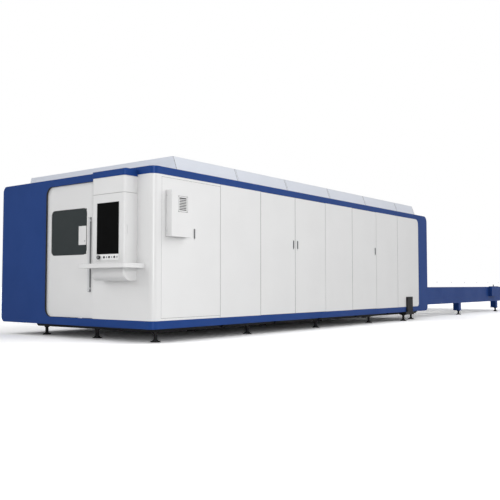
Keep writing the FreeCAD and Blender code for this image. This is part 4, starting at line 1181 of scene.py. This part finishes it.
@dataclass
class SideDoors:
    """Trim round the lift handles of the cabinet door and the service doors."""

    rim: float = 2.2 * MM
    proud: float = 1.5 * MM
    key_radius: float = 5 * MM
    swing_room: float = 3.5 * MM
    seal_width: float = 2.4 * MM
    seal_start: float = 1.2 * MM
    seal_depth: float = 3.3 * MM

    def build(self) -> None:
        """Build the handles' trims and the seals round the leaves and between the panels."""
        self.handle_trims()
        self.leaf_seals()
        self.panel_seals()

    def leaf_seals(self) -> None:
        """A dark seal along the edges of every leaf, in front of its hinge pins."""
        leaves = {"cabinet_door": Body.CABINET_LEAF, "service_door_a": Body.LEAF_A,
                  "service_door_b": Body.LEAF_B, "service_door_c": Body.LEAF_C}
        for door, leaf in leaves.items():
            low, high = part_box(door)
            start = low.y + self.seal_start
            seal = Shape().border((low.x, low.z), (high.x, high.z), 0.1 * MM, self.seal_width,
                                  start, start + self.seal_depth, Axis.Y)
            seal.place(f"{door}_seal", RUBBER, leaf)

    def panel_seals(self) -> None:
        """Dark strips in the seams between the fixed panels of both sides."""
        for node, outward in (("right_panels", -1), ("left_panels", 1)):
            panels = solid_boxes(node)
            low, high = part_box(node)
            face = low.y if outward < 0 else high.y
            depths = sorted((face - outward * self.seal_start, face - outward * 9 * MM))
            strips = Shape()
            for first, second in zip(panels[:-1], panels[1:]):
                if second[0].x - first[1].x > 0.02:
                    continue
                inset = 2 * MM
                strips.box((first[1].x + inset, depths[0], low.z + inset),
                           (second[0].x - inset, depths[1], high.z - inset))
            strips.place(f"{node}_seals", RUBBER, Body.MACHINE)

    def handle_trims(self) -> None:
        """Build a rim and a key disc for every lift handle."""
        leaves = {"cabinet_handle": Body.CABINET_LEAF, "service_handle_a": Body.LEAF_A,
                  "service_handle_b": Body.LEAF_B, "service_handle_c": Body.LEAF_C}
        for handle, leaf in leaves.items():
            low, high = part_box(handle)
            face = high.y + 0.3 * MM
            rim = Shape().border((low.x - 0.4 * MM, low.z - 0.4 * MM),
                                 (high.x + 0.4 * MM, high.z + self.swing_room), 1 * MM, self.rim,
                                 face - self.proud, face - 0.05 * MM, Axis.Y)
            rim.place(f"{handle}_rim", DARK, leaf)
            centre = ((low.x + high.x) / 2, face, low.z - 16 * MM)
            disc = ((self.key_radius, 0.0), (self.key_radius, -1.2 * MM),
                    (0.4 * self.key_radius, -1.2 * MM), (0.3 * self.key_radius, -0.3 * MM))
            shape = Shape().turned(disc, centre, Axis.Y, 20)
            shape.place(f"{handle}_key", STEEL, leaf, smooth=True)


@dataclass
class Roof:
    """Raised roof: cover strips over the joints and rows of rivets along the skirts."""

    strip_width: float = 24 * MM
    strip_depth: float = 1.6 * MM
    seam_width: float = 36 * MM
    seam_depth: float = 0.7 * MM
    hip_width: float = 7 * MM
    rivet_pitch: float = 0.16
    rivet_radius: float = 3.2 * MM
    rivet_rise: float = 12 * MM
    end_room: float = 0.05
    lean: float = 70 * MM
    slope_share: float = 0.985

    def build(self) -> None:
        """Build the roof's strips and rivets."""
        covers = solid_boxes("roof_covers")
        low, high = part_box("roof_covers")
        height = high.z - low.z
        self.seams(covers, low, high)
        slope = math.atan2(self.lean, height)
        level = low.z + self.rivet_rise
        shift = self.rivet_rise * self.lean / height
        rivet = turned_part("rivet", ((self.rivet_radius, 0.0),
                                      (0.8 * self.rivet_radius, 1.1 * MM),
                                      (0.35 * self.rivet_radius, 1.6 * MM)), 8)
        count = int((high.x - low.x - 2 * self.end_room) / self.rivet_pitch) + 1
        start = low.x + self.end_room
        step = (self.rivet_pitch, 0.0, 0.0)
        in_rows("roof_rivets_right", Rows((start, low.y + shift, level), count, step), rivet,
                STEEL, Body.MACHINE, (math.pi / 2 - slope, 0, 0))
        in_rows("roof_rivets_left", Rows((start, high.y - shift, level), count, step), rivet,
                STEEL, Body.MACHINE, (slope - math.pi / 2, 0, 0))

    def seams(self, covers: list[Box], low: Vector, high: Vector) -> None:
        """Sealed joints and cover strips down both slopes, and a bead on the end edges.

        Args:
            covers: box of each roof cover, in order along the machine.
            low: lowest corner of all the covers.
            high: highest corner of all the covers.
        """
        joints = [(first[1].x + second[0].x) / 2 for first, second in zip(covers[:-1], covers[1:])]
        sealant, strips = Shape(), Shape()
        for foot, top in ((low.y, low.y + self.lean), (high.y, high.y - self.lean)):
            for joint in joints:
                self.slope_strip(sealant, joint, self.seam_width, self.seam_depth,
                                 (foot, low.z), (top, high.z))
                self.slope_strip(strips, joint, self.strip_width, self.strip_depth,
                                 (foot, low.z), (top, high.z))
            for end, inward in ((low.x, 1), (high.x, -1)):
                self.slope_strip(sealant, end + inward * self.hip_width / 2, self.hip_width,
                                 self.seam_depth, (foot, low.z), (top, high.z))
        sealant.place("roof_sealant_lines", SEAM, Body.MACHINE)
        strips.place("roof_joint_strips", ROOF, Body.MACHINE)

    def slope_strip(self, shape: Shape, centre: float, width: float, depth: float,
                    foot: tuple[float, float], top: tuple[float, float]) -> None:
        """Add a strip that runs up one slope of the roof.

        Args:
            shape: shape that the strip is added to.
            centre: middle of the strip along the machine.
            width: width of the strip.
            depth: how far it stands proud.
            foot: the slope's lower end, across the machine and in height.
            top: the slope's upper end.
        """
        run, rise = top[0] - foot[0], top[1] - foot[1]
        length = math.hypot(run, rise)
        outward = (-rise / length, abs(run) / length) if run > 0 else (rise / length,
                                                                       abs(run) / length)
        end = (foot[0] + self.slope_share * run, foot[1] + self.slope_share * rise)
        outline = [foot, end, (end[0] + outward[0] * depth, end[1] + outward[1] * depth),
                   (foot[0] + outward[0] * depth, foot[1] + outward[1] * depth)]
        shape.prism(outline, centre - width / 2, centre + width / 2, Axis.X)


@dataclass
class Feet:
    """Levelling feet: threads and nuts on the studs, and collars on the pads."""

    thread_pitch: float = 4 * MM
    thread_depth: float = 1.5 * MM

    def build(self) -> None:
        """Build the threads and nuts on every foot."""
        studs = solid_boxes("foot_studs")
        radius = (studs[0][1].x - studs[0][0].x) / 2
        length = min(box[1].z - box[0].z for box in studs) - 20 * MM
        profile = [(radius + 0.05 * MM, 0.0)]
        for turn in range(int(length / self.thread_pitch)):
            level = turn * self.thread_pitch
            profile.append((radius + self.thread_depth, level + 0.5 * self.thread_pitch))
            profile.append((radius + 0.05 * MM, level + self.thread_pitch))
        loop = profile + [(radius - 1 * MM, profile[-1][1]), (radius - 1 * MM, 0.0)]
        thread = turned_part("thread", loop, 20, loop=True)
        bases = [(middle(box).x, middle(box).y, box[0].z) for box in studs]
        on_points("foot_threads", bases, thread, BLACK, Body.MACHINE)
        nut = hex_nut(1.75 * radius, 16 * MM)
        tops = [(middle(box).x, middle(box).y, box[1].z - 16.2 * MM) for box in studs]
        on_points("foot_lock_nuts", tops, nut, BLACK, Body.MACHINE)
        ring = turned_part("collar", ((radius, 0.0), (1.5 * radius, 0.0), (1.3 * radius, 9 * MM),
                                      (radius, 9 * MM)), 24, loop=True, smooth=True)
        pads = solid_boxes("foot_pads")
        tops = [(middle(box).x, middle(box).y, box[1].z) for box in pads]
        on_points("foot_collars", tops, ring, BLACK, Body.MACHINE)


@dataclass
class Pallet:
    """Saw teeth on a pallet's slats."""

    node: str
    body: Body
    slat_count: int = 39
    slat_pitch: float = 150 * MM
    slat_width: float = 6 * MM
    tooth_pitch: float = 40 * MM
    tooth_height: float = 20 * MM
    beam_width: float = 60 * MM
    beam_lip: float = 6 * MM
    slat_inset: float = 74 * MM

    def build(self) -> None:
        """Build the pallet's teeth."""
        low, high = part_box(self.node)
        half = self.tooth_pitch / 2
        tooth = Shape().prism(((-half + 1 * MM, 0.0), (half - 1 * MM, 0.0),
                               (1.5 * MM, self.tooth_height), (-1.5 * MM, self.tooth_height)),
                              0.0, self.slat_width, Axis.X).mesh("tooth")
        edge = self.beam_lip + self.beam_width + self.slat_inset
        inner_low, inner_high = low.y + edge, high.y - edge
        count = int((inner_high - inner_low) / self.tooth_pitch)
        spare = (inner_high - inner_low - (count - 1) * self.tooth_pitch) / 2
        start = (low.x + self.slat_pitch, inner_low + spare, high.z - 0.05 * MM)
        rows = Rows(start, count, (0.0, self.tooth_pitch, 0.0), self.slat_count,
                    (self.slat_pitch, 0.0, 0.0))
        in_rows(f"{self.node}_teeth", rows, tooth, PALLET, self.body)


@dataclass
class Bed:
    """Machine bed: bolts along the gantry rails and teeth on the racks."""

    bolt_pitch: float = 0.12
    tooth_pitch: float = 20 * MM
    tooth_height: float = 4.5 * MM
    end_room: float = 0.05

    def build(self) -> None:
        """Build the rail bolts and rack teeth."""
        rails = solid_boxes("gantry_rails")
        bolt = turned_part("rail_bolt", ((7 * MM, 0.0), (7 * MM, 0.25 * MM), (4 * MM, 0.25 * MM),
                                         (4 * MM, 0.1 * MM)), 12)
        low, high = rails[0]
        count = int((high.x - low.x - 2 * self.end_room) / self.bolt_pitch) + 1
        gap = middle(rails[1]).y - middle(rails[0]).y
        start = (low.x + self.end_room, middle(rails[0]).y, high.z)
        rows = Rows(start, count, (self.bolt_pitch, 0.0, 0.0), 2, (0.0, gap, 0.0))
        in_rows("rail_bolts", rows, bolt, DARK, Body.MACHINE)
        racks = solid_boxes("gantry_racks")
        low, high = racks[0]
        third = self.tooth_pitch / 3
        tooth = Shape().prism(((-third, 0.0), (third, 0.0), (0.5 * third, self.tooth_height),
                               (-0.5 * third, self.tooth_height)), -0.5 * (high.y - low.y),
                              0.5 * (high.y - low.y), Axis.Y).mesh("rack_tooth")
        gap = middle(racks[1]).y - middle(racks[0]).y
        count = int((high.x - low.x) / self.tooth_pitch) - 1
        start = (low.x + self.tooth_pitch, middle(racks[0]).y, high.z - 0.05 * MM)
        rows = Rows(start, count, (self.tooth_pitch, 0.0, 0.0), 2, (0.0, gap, 0.0))
        in_rows("rack_teeth", rows, tooth, STEEL, Body.MACHINE)


@dataclass
class Gantry:
    """Gantry and head: head rings, a nozzle collar, carriage screws and beam end covers."""

    ring_depth: float = 8 * MM
    ring_proud: float = 3 * MM
    ring_lap: float = 1 * MM
    ring_base: float = 70 * MM
    ring_shares: tuple[float, ...] = (0.12, 0.34, 0.56, 0.9)
    screw_inset: float = 26 * MM
    screw_radius: float = 8 * MM
    cover_wall: float = 4 * MM
    cover_inset: float = 62 * MM
    cover_drop: float = 20 * MM
    cover_gap: float = 6 * MM

    def build(self) -> None:
        """Build the head's rings, the carriage screws and the beam's end covers."""
        low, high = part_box("cutting_head")
        radius = (high.y - low.y) / 2
        centre_x = high.x - radius
        centre_y = (low.y + high.y) / 2
        rings = Shape()
        base = low.z + self.ring_base
        for share in self.ring_shares:
            level = base + share * (high.z - base)
            inner, outer = radius - self.ring_lap, radius + self.ring_proud
            profile = ((inner, 0.0), (outer, 0.0), (outer, self.ring_depth),
                       (inner, self.ring_depth))
            rings.turned(profile, (centre_x, centre_y, level), Axis.Z, 40, loop=True)
        rings.place("head_rings", STEEL, Body.HEAD, smooth=True)
        collar = ((9 * MM, 12 * MM), (15 * MM, 12 * MM), (15 * MM, 20 * MM), (9 * MM, 20 * MM))
        shape = Shape().turned(collar, (centre_x, centre_y, low.z), Axis.Z, 24, loop=True)
        shape.place("nozzle_collar", STEEL, Body.HEAD, smooth=True)
        low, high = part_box("cross_carriage")
        corners = face_points(low, high, self.screw_inset, high.x, centre_row=True)
        on_points("carriage_screws", corners, socket_screw(self.screw_radius), STEEL,
                  Body.CARRIAGE, FACING["+X"])
        low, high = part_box("gantry_beam")
        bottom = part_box("cross_rails")[0].z - self.cover_drop
        ends = Shape()
        for start in (low.y - self.cover_wall, high.y):
            ends.box((low.x + self.cover_inset, start, bottom),
                     (high.x - self.cover_inset, start + self.cover_wall,
                      high.z - self.cover_gap), 1 * MM)
        ends.place("gantry_end_covers", WHITE, Body.GANTRY)


@dataclass
class ShuttleTable:
    """Shuttle table: knob and screws on the drive cover, seams and plugs on the beams."""

    knob_radius: float = 17 * MM
    knob_shift: float = 20 * MM
    screw_inset: float = 18 * MM
    screw_radius: float = 6 * MM
    seam_proud: float = 2.5 * MM
    seam_half: float = 3 * MM
    plug_pitch: float = 0.9
    plug_start: float = 0.25
    plug_rise: float = 0.12
    plug_end_room: float = 0.4

    def build(self) -> None:
        """Build the table's small parts."""
        low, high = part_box("drive_cover")
        centre = ((low.x + high.x) / 2 - self.knob_shift, (low.y + high.y) / 2, high.z)
        stem = ((0.9 * self.knob_radius, 0.0), (0.9 * self.knob_radius, 6 * MM),
                (0.55 * self.knob_radius, 12 * MM), (0.55 * self.knob_radius, 20 * MM),
                (self.knob_radius, 26 * MM), (self.knob_radius, 38 * MM),
                (0.7 * self.knob_radius, 45 * MM))
        shape = Shape().turned(stem, centre, Axis.Z, 24)
        shape.place("cover_knob", BLACK, Body.MACHINE, smooth=True)
        corners = face_points(low, high, self.screw_inset, low.y, Axis.Y, centre_row=True)
        on_points("cover_screws", corners, socket_screw(self.screw_radius), BLACK, Body.MACHINE,
                  FACING["-Y"])
        self.beam_details()

    def beam_details(self) -> None:
        """Weld seams between the stacked beams, and a row of hole plugs above one of them."""
        beams = solid_boxes("table_beams")
        seam = min(box[1].z for box in beams)
        low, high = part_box("table_beams")
        bead = Shape()
        for face, outward in ((low.y, -1), (high.y, 1)):
            side = sorted((face, face + outward * self.seam_proud))
            bead.box((low.x, side[0], seam - self.seam_half),
                     (high.x, side[1], seam + self.seam_half), 1 * MM)
        bead.place("table_beam_seams", BLUE, Body.MACHINE)
        count = int((high.x - low.x - self.plug_end_room) / self.plug_pitch) + 1
        plug = turned_part("plug", ((11 * MM, 0.0), (11 * MM, 1.2 * MM), (7 * MM, 1.8 * MM)), 16)
        rows = Rows((low.x + self.plug_start, low.y, seam + self.plug_rise), count,
                    (self.plug_pitch, 0.0, 0.0))
        in_rows("beam_hole_plugs", rows, plug, BLUE, Body.MACHINE, FACING["-Y"])


@dataclass
class SideBracket:
    """Bolts that hold the black side post and its base block."""

    post_start: float = 80 * MM
    post_end: float = 55 * MM
    side_inset: float = 30 * MM
    level_inset: float = 40 * MM
    bolt_radius: float = 11 * MM
    bolt_depth: float = 8 * MM

    def build(self) -> None:
        """Build the bracket's bolts."""
        low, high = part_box("side_bracket")
        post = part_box("ribbons")[0].z
        start = low.x + self.post_start + self.side_inset
        end = high.x - self.post_end - self.side_inset
        bolts = [(x, low.y, z) for x in (start, end)
                 for z in (post + self.level_inset, high.z - self.level_inset)]
        on_points("bracket_bolts", bolts, hex_nut(self.bolt_radius, self.bolt_depth), BLACK,
                  Body.MACHINE, FACING["-Y"])


@dataclass
class Equipment:
    """Laser source and drive modules: vents, a door seam, fins and terminal strips."""

    fin_pitch: float = 12 * MM
    vent_pitch: float = 22 * MM
    vent_half: float = 0.14
    vent_count: int = 9
    vent_low: float = 0.12
    fin_height: float = 0.16
    fin_start: float = 16 * MM
    fin_low: float = 0.14
    clip_low: float = 0.04
    widest_module: float = 0.4

    def build(self) -> None:
        """Build the details of the equipment behind the cabinet door."""
        low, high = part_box("laser_source")
        vent = Shape().box((-self.vent_half, -1.5 * MM, -5 * MM),
                           (self.vent_half, 0.0, 5 * MM), 1 * MM).mesh("vent")
        rows = Rows(((low.x + high.x) / 2, low.y, low.z + self.vent_low), self.vent_count,
                    (0.0, 0.0, self.vent_pitch))
        in_rows("source_vents", rows, vent, DARK, Body.MACHINE)
        frame_low = (low.x + 40 * MM, low.z + 60 * MM)
        frame_high = (high.x - 40 * MM, high.z - 60 * MM)
        seam = Shape().border(frame_low, frame_high, 8 * MM, 3 * MM, low.y - 0.8 * MM,
                              low.y - 0.05 * MM, Axis.Y)
        seam.place("source_door_seam", RUBBER, Body.MACHINE)
        modules = [box for box in solid_boxes("drive_modules")
                   if box[1].x - box[0].x < self.widest_module]
        low, high = modules[0]
        fin = Shape().box((-1 * MM, -6 * MM, 0.0), (1 * MM, 0.0, self.fin_height)).mesh("fin")
        step = modules[1][0].x - modules[0][0].x
        count = int((high.x - low.x - 20 * MM) / self.fin_pitch)
        clip = Shape().box((-5 * MM, -8 * MM, 0.0), (5 * MM, 0.0, 14 * MM), 1 * MM).mesh("clip")
        for name, part, rise, finish in (("module_fins", fin, self.fin_low, ALUMINIUM),
                                         ("module_terminals", clip, self.clip_low, DARK)):
            rows = Rows((low.x + self.fin_start, low.y, low.z + rise), count,
                        (self.fin_pitch, 0.0, 0.0), len(modules), (step, 0.0, 0.0))
            in_rows(name, rows, part, finish, Body.MACHINE)


@dataclass
class RearGate:
    """Rubber strip over the pallet gate and screws along the rear header."""

    strip_thick: float = 3 * MM
    strip_lap: float = 2 * MM
    strip_rise: float = 26 * MM
    screw_pitch: float = 0.28
    screw_inset: float = 20 * MM
    screw_rise: float = 60 * MM
    screw_drop: float = 30 * MM
    screw_radius: float = 5 * MM

    def build(self) -> None:
        """Build the gate's strips and screws."""
        panels = solid_boxes("rear_panels")
        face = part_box("rear_panels")[1].x
        head = max(panels, key=lambda box: box[0].z)
        strip = Shape().box((face, head[0].y, head[0].z - self.strip_lap),
                            (face + self.strip_thick, head[1].y, head[0].z + self.strip_rise),
                            1 * MM)
        strip.place("gate_strip", RUBBER, Body.MACHINE)
        count = int((head[1].y - head[0].y - 2 * self.screw_inset) / self.screw_pitch) + 1
        gap = head[1].z - head[0].z - self.screw_rise - self.screw_drop
        rows = Rows((face, head[0].y + self.screw_inset, head[0].z + self.screw_rise), count,
                    (0.0, self.screw_pitch, 0.0), 2, (0.0, 0.0, gap))
        in_rows("rear_panel_screws", rows, socket_screw(self.screw_radius), STEEL, Body.MACHINE,
                FACING["+X"])


def dress_nodes() -> None:
    """Give every construction node the finish of its slot."""
    slots = {row["node"]: row["material_slot"] for row in frame["record"]["subparts"]}
    for name, item in frame["nodes"].items():
        finish = NODE_FINISHES.get(name, SLOT_FINISHES[slots[name]])
        for material_slot in item.material_slots:
            material_slot.material = finish.material()
        LOG.info("%s dressed in %s", name, finish.name)


# ---------------------------------------------------------------- studio


@dataclass
class Studio:
    """Floor, lights, background and camera."""

    lens: float = 49.73
    camera_offset: Point = (-6.187, -6.324, 0.755)
    yaw: float = 37.64
    pitch: float = 2.904
    floor_size: float = 400.0
    dark_horizon: float = 0.10
    full_sky: float = 0.45
    sky_light: float = 0.32
    panel_edge: float = 0.70
    panel_core: float = 0.95
    panels: tuple = (((-0.75, 0.50, 0.43), 1.60), ((0.58, -0.70, 0.43), 2.15))
    corner_power: float = 420.0
    gloss_cut: float = 0.62
    floor_shine: float = 1.5

    @property
    def corner(self) -> Vector:
        """Front right corner of the cabin at floor level."""
        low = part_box("corner_post")[0]
        return Vector((low.x, low.y, CAD_BOX[0][2]))

    def build(self) -> None:
        """Build the whole studio."""
        self.floor()
        self.background()
        self.lights()
        self.camera()

    def floor(self) -> None:
        """A plain pale floor that reads as white where it is lit."""
        half = self.floor_size / 2
        level = self.corner.z
        mesh = bpy.data.meshes.new("floor")
        mesh.from_pydata([(-half, -half, level), (half, -half, level), (half, half, level),
                          (-half, half, level)], [], [(0, 1, 2, 3)])
        floor = bpy.data.objects.new("floor", mesh)
        bpy.context.scene.collection.objects.link(floor)
        made = bpy.data.materials.new("floor_paint")
        made.use_nodes = True
        made.node_tree.nodes.clear()
        graph = Graph(made.node_tree)
        vector = graph.node("ShaderNodeTexCoord").outputs["Object"]
        cloud = graph.ramp(graph.noise(vector, 0.6, 3.0), 0.3, 0.7)
        seen = graph.node("ShaderNodeLightPath").outputs["Is Camera Ray"]
        bounce = graph.mix(cloud, rgba((0.62, 0.62, 0.62)), rgba((0.60, 0.60, 0.60)))
        shine = self.floor_shine
        bright = graph.mix(cloud, rgba((shine, shine, shine)), rgba((shine * 0.98,) * 3))
        colour = graph.mix(seen, bounce, bright)
        surface = graph.node("ShaderNodeBsdfDiffuse", {"Color": colour})
        graph.node("ShaderNodeOutputMaterial", {"Surface": surface.outputs[0]})
        mesh.materials.append(made)

    def background(self) -> None:
        """White behind the machine, and a soft overhead sky as the light."""
        world = bpy.data.worlds.new("studio")
        bpy.context.scene.world = world
        world.use_nodes = True
        world.node_tree.nodes.clear()
        graph = Graph(world.node_tree)
        direction = graph.node("ShaderNodeTexCoord").outputs["Generated"]
        height = graph.node("ShaderNodeSeparateXYZ", {0: direction}).outputs[2]
        rise = graph.ramp(height, self.dark_horizon, self.full_sky)
        glow = graph.math("MULTIPLY", rise, self.sky_light)
        for aim, strength in self.panels:
            near = graph.node("ShaderNodeVectorMath", {0: direction, 1: aim},
                              operation="DOT_PRODUCT").outputs["Value"]
            patch = graph.ramp(near, self.panel_edge, self.panel_core)
            glow = graph.math("ADD", glow, graph.math("MULTIPLY", patch, strength))
        path = graph.node("ShaderNodeLightPath")
        seen = path.outputs["Is Camera Ray"]
        dim = graph.math("MULTIPLY", path.outputs["Is Glossy Ray"], self.gloss_cut)
        glow = graph.math("MULTIPLY", glow, graph.math("SUBTRACT", 1.0, dim))
        sky = graph.node("ShaderNodeBackground", {"Color": (1, 1, 1, 1), "Strength": glow})
        back = graph.node("ShaderNodeBackground", {"Color": (1, 1, 1, 1), "Strength": 1.0})
        both = graph.node("ShaderNodeMixShader", {0: seen, 1: sky.outputs[0], 2: back.outputs[0]})
        graph.node("ShaderNodeOutputWorld", {"Surface": both.outputs[0]})

    def lights(self) -> None:
        """A tall soft box that faces the near corner."""
        self.soft_box("corner_box", (-7.6, -8.4, 2.4), (0.0, 0.0, 1.1), (1.4, 4.2),
                      self.corner_power)

    def soft_box(self, name: str, offset: Point, aim: Point, size: tuple[float, float],
                 power: float) -> None:
        """Add a soft box that faces a point, both measured from the cabin's corner."""
        light = bpy.data.lights.new(name, "AREA")
        light.shape = "RECTANGLE"
        light.size, light.size_y = size
        light.energy = power
        lamp = bpy.data.objects.new(name, light)
        bpy.context.scene.collection.objects.link(lamp)
        lamp.location = self.corner + Vector(offset)
        gaze = self.corner + Vector(aim) - lamp.location
        lamp.rotation_euler = gaze.to_track_quat("-Z", "Y").to_euler()

    def camera(self) -> None:
        """The camera, low at the near corner and looking along the machine."""
        data = bpy.data.cameras.new("camera")
        data.lens = self.lens
        data.clip_end = 600.0
        camera = bpy.data.objects.new("camera", data)
        bpy.context.scene.collection.objects.link(camera)
        camera.location = self.corner + Vector(self.camera_offset)
        yaw, pitch = math.radians(self.yaw), math.radians(self.pitch)
        gaze = Vector((math.cos(pitch) * math.cos(yaw), math.cos(pitch) * math.sin(yaw),
                       math.sin(pitch)))
        camera.rotation_euler = gaze.to_track_quat("-Z", "Y").to_euler()
        bpy.context.scene.camera = camera
        bpy.context.scene.view_settings.view_transform = "Standard"


def main() -> None:
    """Build the machine's looks and the studio."""
    logging.basicConfig(level=logging.INFO, format="%(name)s: %(message)s")
    dress_nodes()
    assemblies = [Console(), SlidingDoor(), Cooler(), SideDoors(), Roof(), Feet(),
                  Pallet("upper_pallet", Body.TOP_PALLET),
                  Pallet("lower_pallet", Body.BOTTOM_PALLET), Bed(), Gantry(), ShuttleTable(),
                  SideBracket(), Equipment(), RearGate()]
    for assembly in assemblies:
        assembly.build()
    Studio().build()


if __name__ == "__main__":
    main()
